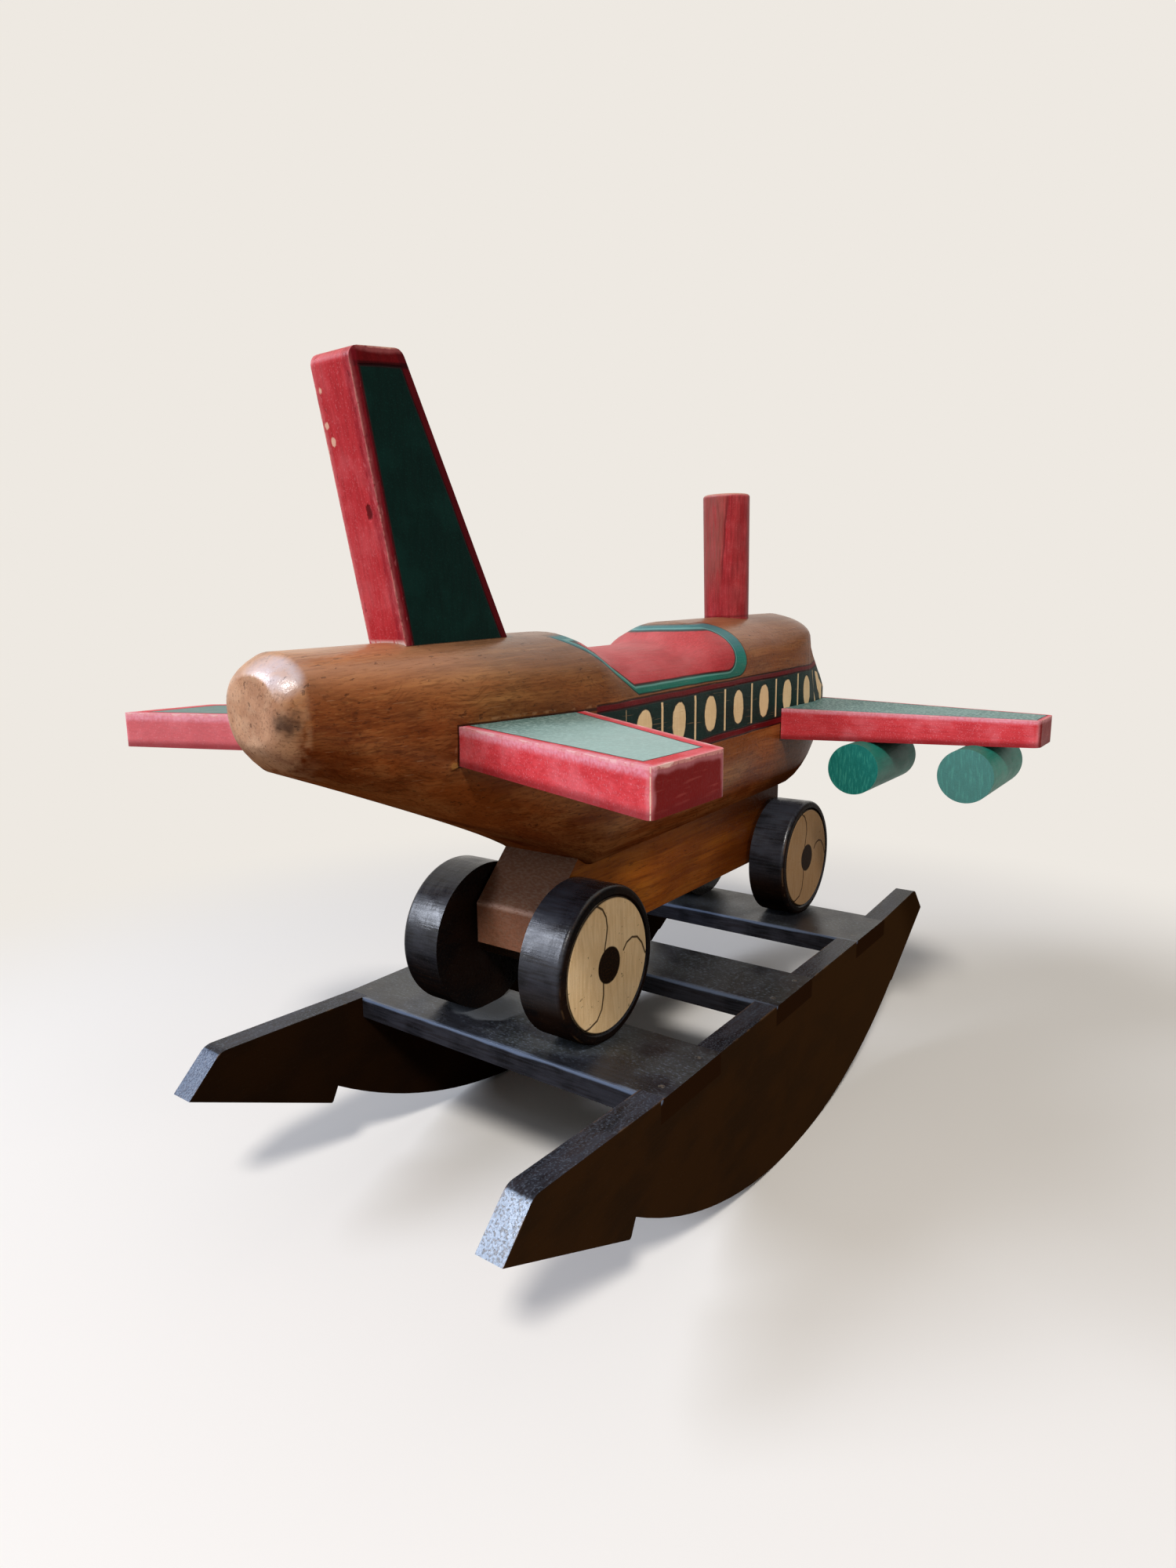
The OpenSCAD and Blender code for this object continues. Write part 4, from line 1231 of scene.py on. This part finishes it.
@dataclass(frozen=True)
class Fastenings:
    """Dowels, screws and nails: inside the wood, so their finishes only show if it is taken apart."""

    dowels: tuple[str, ...] = ("fin_dowels", "stabiliser_dowels", "wing_dowels", "engine_dowels")
    steel: tuple[str, ...] = ("keel_screws", "axle_screws", "wheel_screws", "plank_nails")

    def beech(self) -> Material:
        """Makes fluted beech dowel: pale brown wood with short dark flecks.

        Returns:
            The finished material.
        """
        c = Canvas("fluted_beech_dowel", "#C9A878")
        fleck = c.mottle(0.9, 121.0, 2.0, (5.0, 5.0, 5.0))
        c.lay(fleck.over(0.6, 0.05) * 0.5, "#8E6A42")
        c.relief = fleck * 0.1
        return c.dressed(fleck * 0.2 + 0.5)

    def zinc(self) -> Material:
        """Makes zinc-plated steel: grey metal with a faint cloudy bloom.

        Returns:
            The finished material.
        """
        c = Canvas("zinc_plated_steel", "#8E8F90")
        bloom = c.mottle(2.0, 123.0, 3.0)
        c.lay(bloom.over(0.55, 0.1) * 0.4, "#6E6F72")
        return c.dressed(bloom * 0.3 + 0.25, metallic=1.0)

    def build(self, frame: dict) -> None:
        """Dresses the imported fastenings."""
        dress(frame, self.dowels, self.beech())
        dress(frame, self.steel, self.zinc())


@dataclass(frozen=True)
class Lamp:
    """A soft rectangular lamp: place and size in metres, power in watts and sRGB hex colour."""

    name: str
    place: Triple
    size: Pair
    watts: float
    tint: str


@dataclass(frozen=True)
class Studio:
    """Pale floor that fades into the backdrop, soft light and the camera at the photograph's place."""

    eye: Triple = (-0.6478, -0.4287, 0.4426)
    yaw: float = 36.0
    pitch: float = -10.5
    roll: float = -0.6
    lens: float = 21.195
    sensor: float = 36.0
    nearest: float = 0.01
    lamps: tuple[Lamp, ...] = (
        Lamp("window", (-2.69, 2.44, 2.38), (1.2, 2.6), 150.0, "#E6EEFF"),
        Lamp("key", (-3.54, -2.18, 4.47), (0.8, 0.8), 224.0, "#FFFBF6"),
        Lamp("ceiling", (0.0, -0.2, 3.1), (3.0, 3.0), 6.0, "#FFFFFF"),
        Lamp("side", (-0.39, -3.78, 1.06), (2.2, 1.7), 30.0, "#FFF4E8"),
    )
    lit_place: Triple = (0.0, 0.0, 0.28)
    floor_radius: float = 30.0
    fade: Pair = (0.6, 1.15)
    floor: str = "#F3EFE9"
    bounce: str = "#9A948C"
    wall: str = "#EEE9E2"
    fill: float = 0.09

    def camera(self) -> None:
        """Makes the camera."""
        yaw, pitch, roll = (math.radians(a) for a in (self.yaw, self.pitch, self.roll))
        ahead = Vector((math.cos(pitch) * math.cos(yaw), math.cos(pitch) * math.sin(yaw), math.sin(pitch)))
        right = Vector((math.sin(yaw), -math.cos(yaw), 0.0))
        up = right.cross(ahead)
        right, up = (
            right * math.cos(roll) + up * math.sin(roll),
            up * math.cos(roll) - right * math.sin(roll),
        )
        data = bpy.data.cameras.new("camera")
        data.sensor_width = self.sensor
        data.lens = self.lens
        data.clip_start = self.nearest
        camera = bpy.data.objects.new("camera", data)
        turn = Matrix((right, up, -ahead)).transposed().to_4x4()
        camera.matrix_world = Matrix.Translation(self.eye) @ turn
        bpy.context.scene.collection.objects.link(camera)
        bpy.context.scene.camera = camera

    def hang(self, lamp: Lamp) -> None:
        """Hangs one lamp and turns it to the toy.

        Args:
            lamp: The lamp.
        """
        data = bpy.data.lights.new(lamp.name, "AREA")
        data.shape = "RECTANGLE"
        data.size, data.size_y = lamp.size
        data.energy = lamp.watts
        data.color = linear(lamp.tint)[:3]
        hung = bpy.data.objects.new(lamp.name, data)
        hung.location = lamp.place
        aim = Vector(self.lit_place) - Vector(lamp.place)
        hung.rotation_euler = aim.to_track_quat("-Z", "Y").to_euler()
        bpy.context.scene.collection.objects.link(hung)

    def backdrop(self) -> None:
        """Makes the floor, which fades with distance into the colour of the wall."""
        mesh = bmesh.new()
        bmesh.ops.create_circle(mesh, cap_ends=True, segments=96, radius=self.floor_radius)
        data = bpy.data.meshes.new("floor")
        mesh.to_mesh(data)
        mesh.free()
        floor = bpy.data.objects.new("floor", data)
        bpy.context.scene.collection.objects.link(floor)
        material = bpy.data.materials.new("matt_paper_floor")
        material.use_nodes = True
        tree = material.node_tree
        tree.nodes.clear()
        place = add_node(tree, "ShaderNodeNewGeometry", {}, {}).outputs["Position"]
        reach = add_node(tree, "ShaderNodeVectorMath", {"operation": "LENGTH"}, {0: place}).outputs["Value"]
        links = {"Value": reach, "From Min": self.fade[0], "From Max": self.fade[1]}
        far = add_node(tree, "ShaderNodeMapRange", {"interpolation_type": "SMOOTHSTEP"}, links).outputs[0]
        seen = self.seen(tree)
        share = add_node(tree, "ShaderNodeMath", {"operation": "MULTIPLY"}, {0: far, 1: seen}).outputs[0]
        links = {0: seen, 6: self.bounce, 7: self.floor}
        paint = add_node(tree, "ShaderNodeMix", {"data_type": "RGBA"}, links).outputs[2]
        paper = add_node(tree, "ShaderNodeBsdfDiffuse", {}, {"Color": paint}).outputs[0]
        glow = add_node(tree, "ShaderNodeEmission", {}, {"Color": self.wall}).outputs[0]
        mixed = add_node(tree, "ShaderNodeMixShader", {}, {0: share, 1: paper, 2: glow}).outputs[0]
        add_node(tree, "ShaderNodeOutputMaterial", {}, {"Surface": mixed})
        data.materials.append(material)

    def seen(self, tree: bpy.types.NodeTree) -> bpy.types.NodeSocket:
        """Tells rays that are seen from rays that only light.

        Args:
            tree: The node tree in which to work it out.

        Returns:
            1 for the camera's rays and for mirrored and refracted ones, and 0 for lighting.
        """
        path = add_node(tree, "ShaderNodeLightPath", {}, {})
        total = path.outputs["Is Camera Ray"]
        for kind in ("Is Glossy Ray", "Is Transmission Ray"):
            links = {0: total, 1: path.outputs[kind]}
            total = add_node(tree, "ShaderNodeMath", {"operation": "MAXIMUM"}, links).outputs[0]
        return total

    def sky(self) -> None:
        """Makes the world: the wall's colour to the eye, and a plain soft fill as light."""
        world = bpy.data.worlds.new("studio")
        bpy.context.scene.world = world
        world.use_nodes = True
        tree = world.node_tree
        tree.nodes.clear()
        fill, wall = (
            add_node(tree, "ShaderNodeBackground", {}, {"Color": colour, "Strength": strength}).outputs[0]
            for colour, strength in (("#FFFFFF", self.fill), (self.wall, 1.0))
        )
        mixed = add_node(tree, "ShaderNodeMixShader", {}, {0: self.seen(tree), 1: fill, 2: wall}).outputs[0]
        add_node(tree, "ShaderNodeOutputWorld", {}, {"Surface": mixed})

    def build(self) -> None:
        """Sets up the whole studio."""
        self.camera()
        self.backdrop()
        self.sky()
        for lamp in self.lamps:
            self.hang(lamp)
        bpy.context.scene.view_settings.view_transform = "Standard"
        log.info("studio: camera, floor, wall, %d lamps", len(self.lamps))


STABILISERS = Board(
    title="stabiliser",
    plan=((-268.0, 32.0), (-145.0, 32.0), (-268.0, 220.0), (-337.0, 220.0)),
    top=376.7,
    root_under=352.7,
    tip_under=352.7,
    borders=(8.0, 8.5, 12.0),
    softness=5.0,
    fading_and_sheen=0.72,
    age=0.85,
    seed=51.0,
)
WINGS = Board(
    title="wing",
    plan=((151.0, 40.0), (290.0, 40.0), (218.0, 286.0), (166.0, 286.0)),
    top=350.7,
    root_under=320.7,
    tip_under=327.7,
    borders=(4.0, 4.0, 4.0),
    softness=3.2,
    fading_and_sheen=0.22,
    age=0.2,
    seed=151.0,
)


def main() -> None:
    """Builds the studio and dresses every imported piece."""
    logging.basicConfig(level=logging.INFO, format="%(name)s: %(message)s")
    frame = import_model()
    Studio().build()
    body = (Fuselage(), Keel(), Fin(), STABILISERS, WINGS, Engines(), HandlePeg())
    for part in (*body, Wheels(), Rocker(), Fastenings()):
        part.build(frame)


if __name__ == "__main__":
    main()
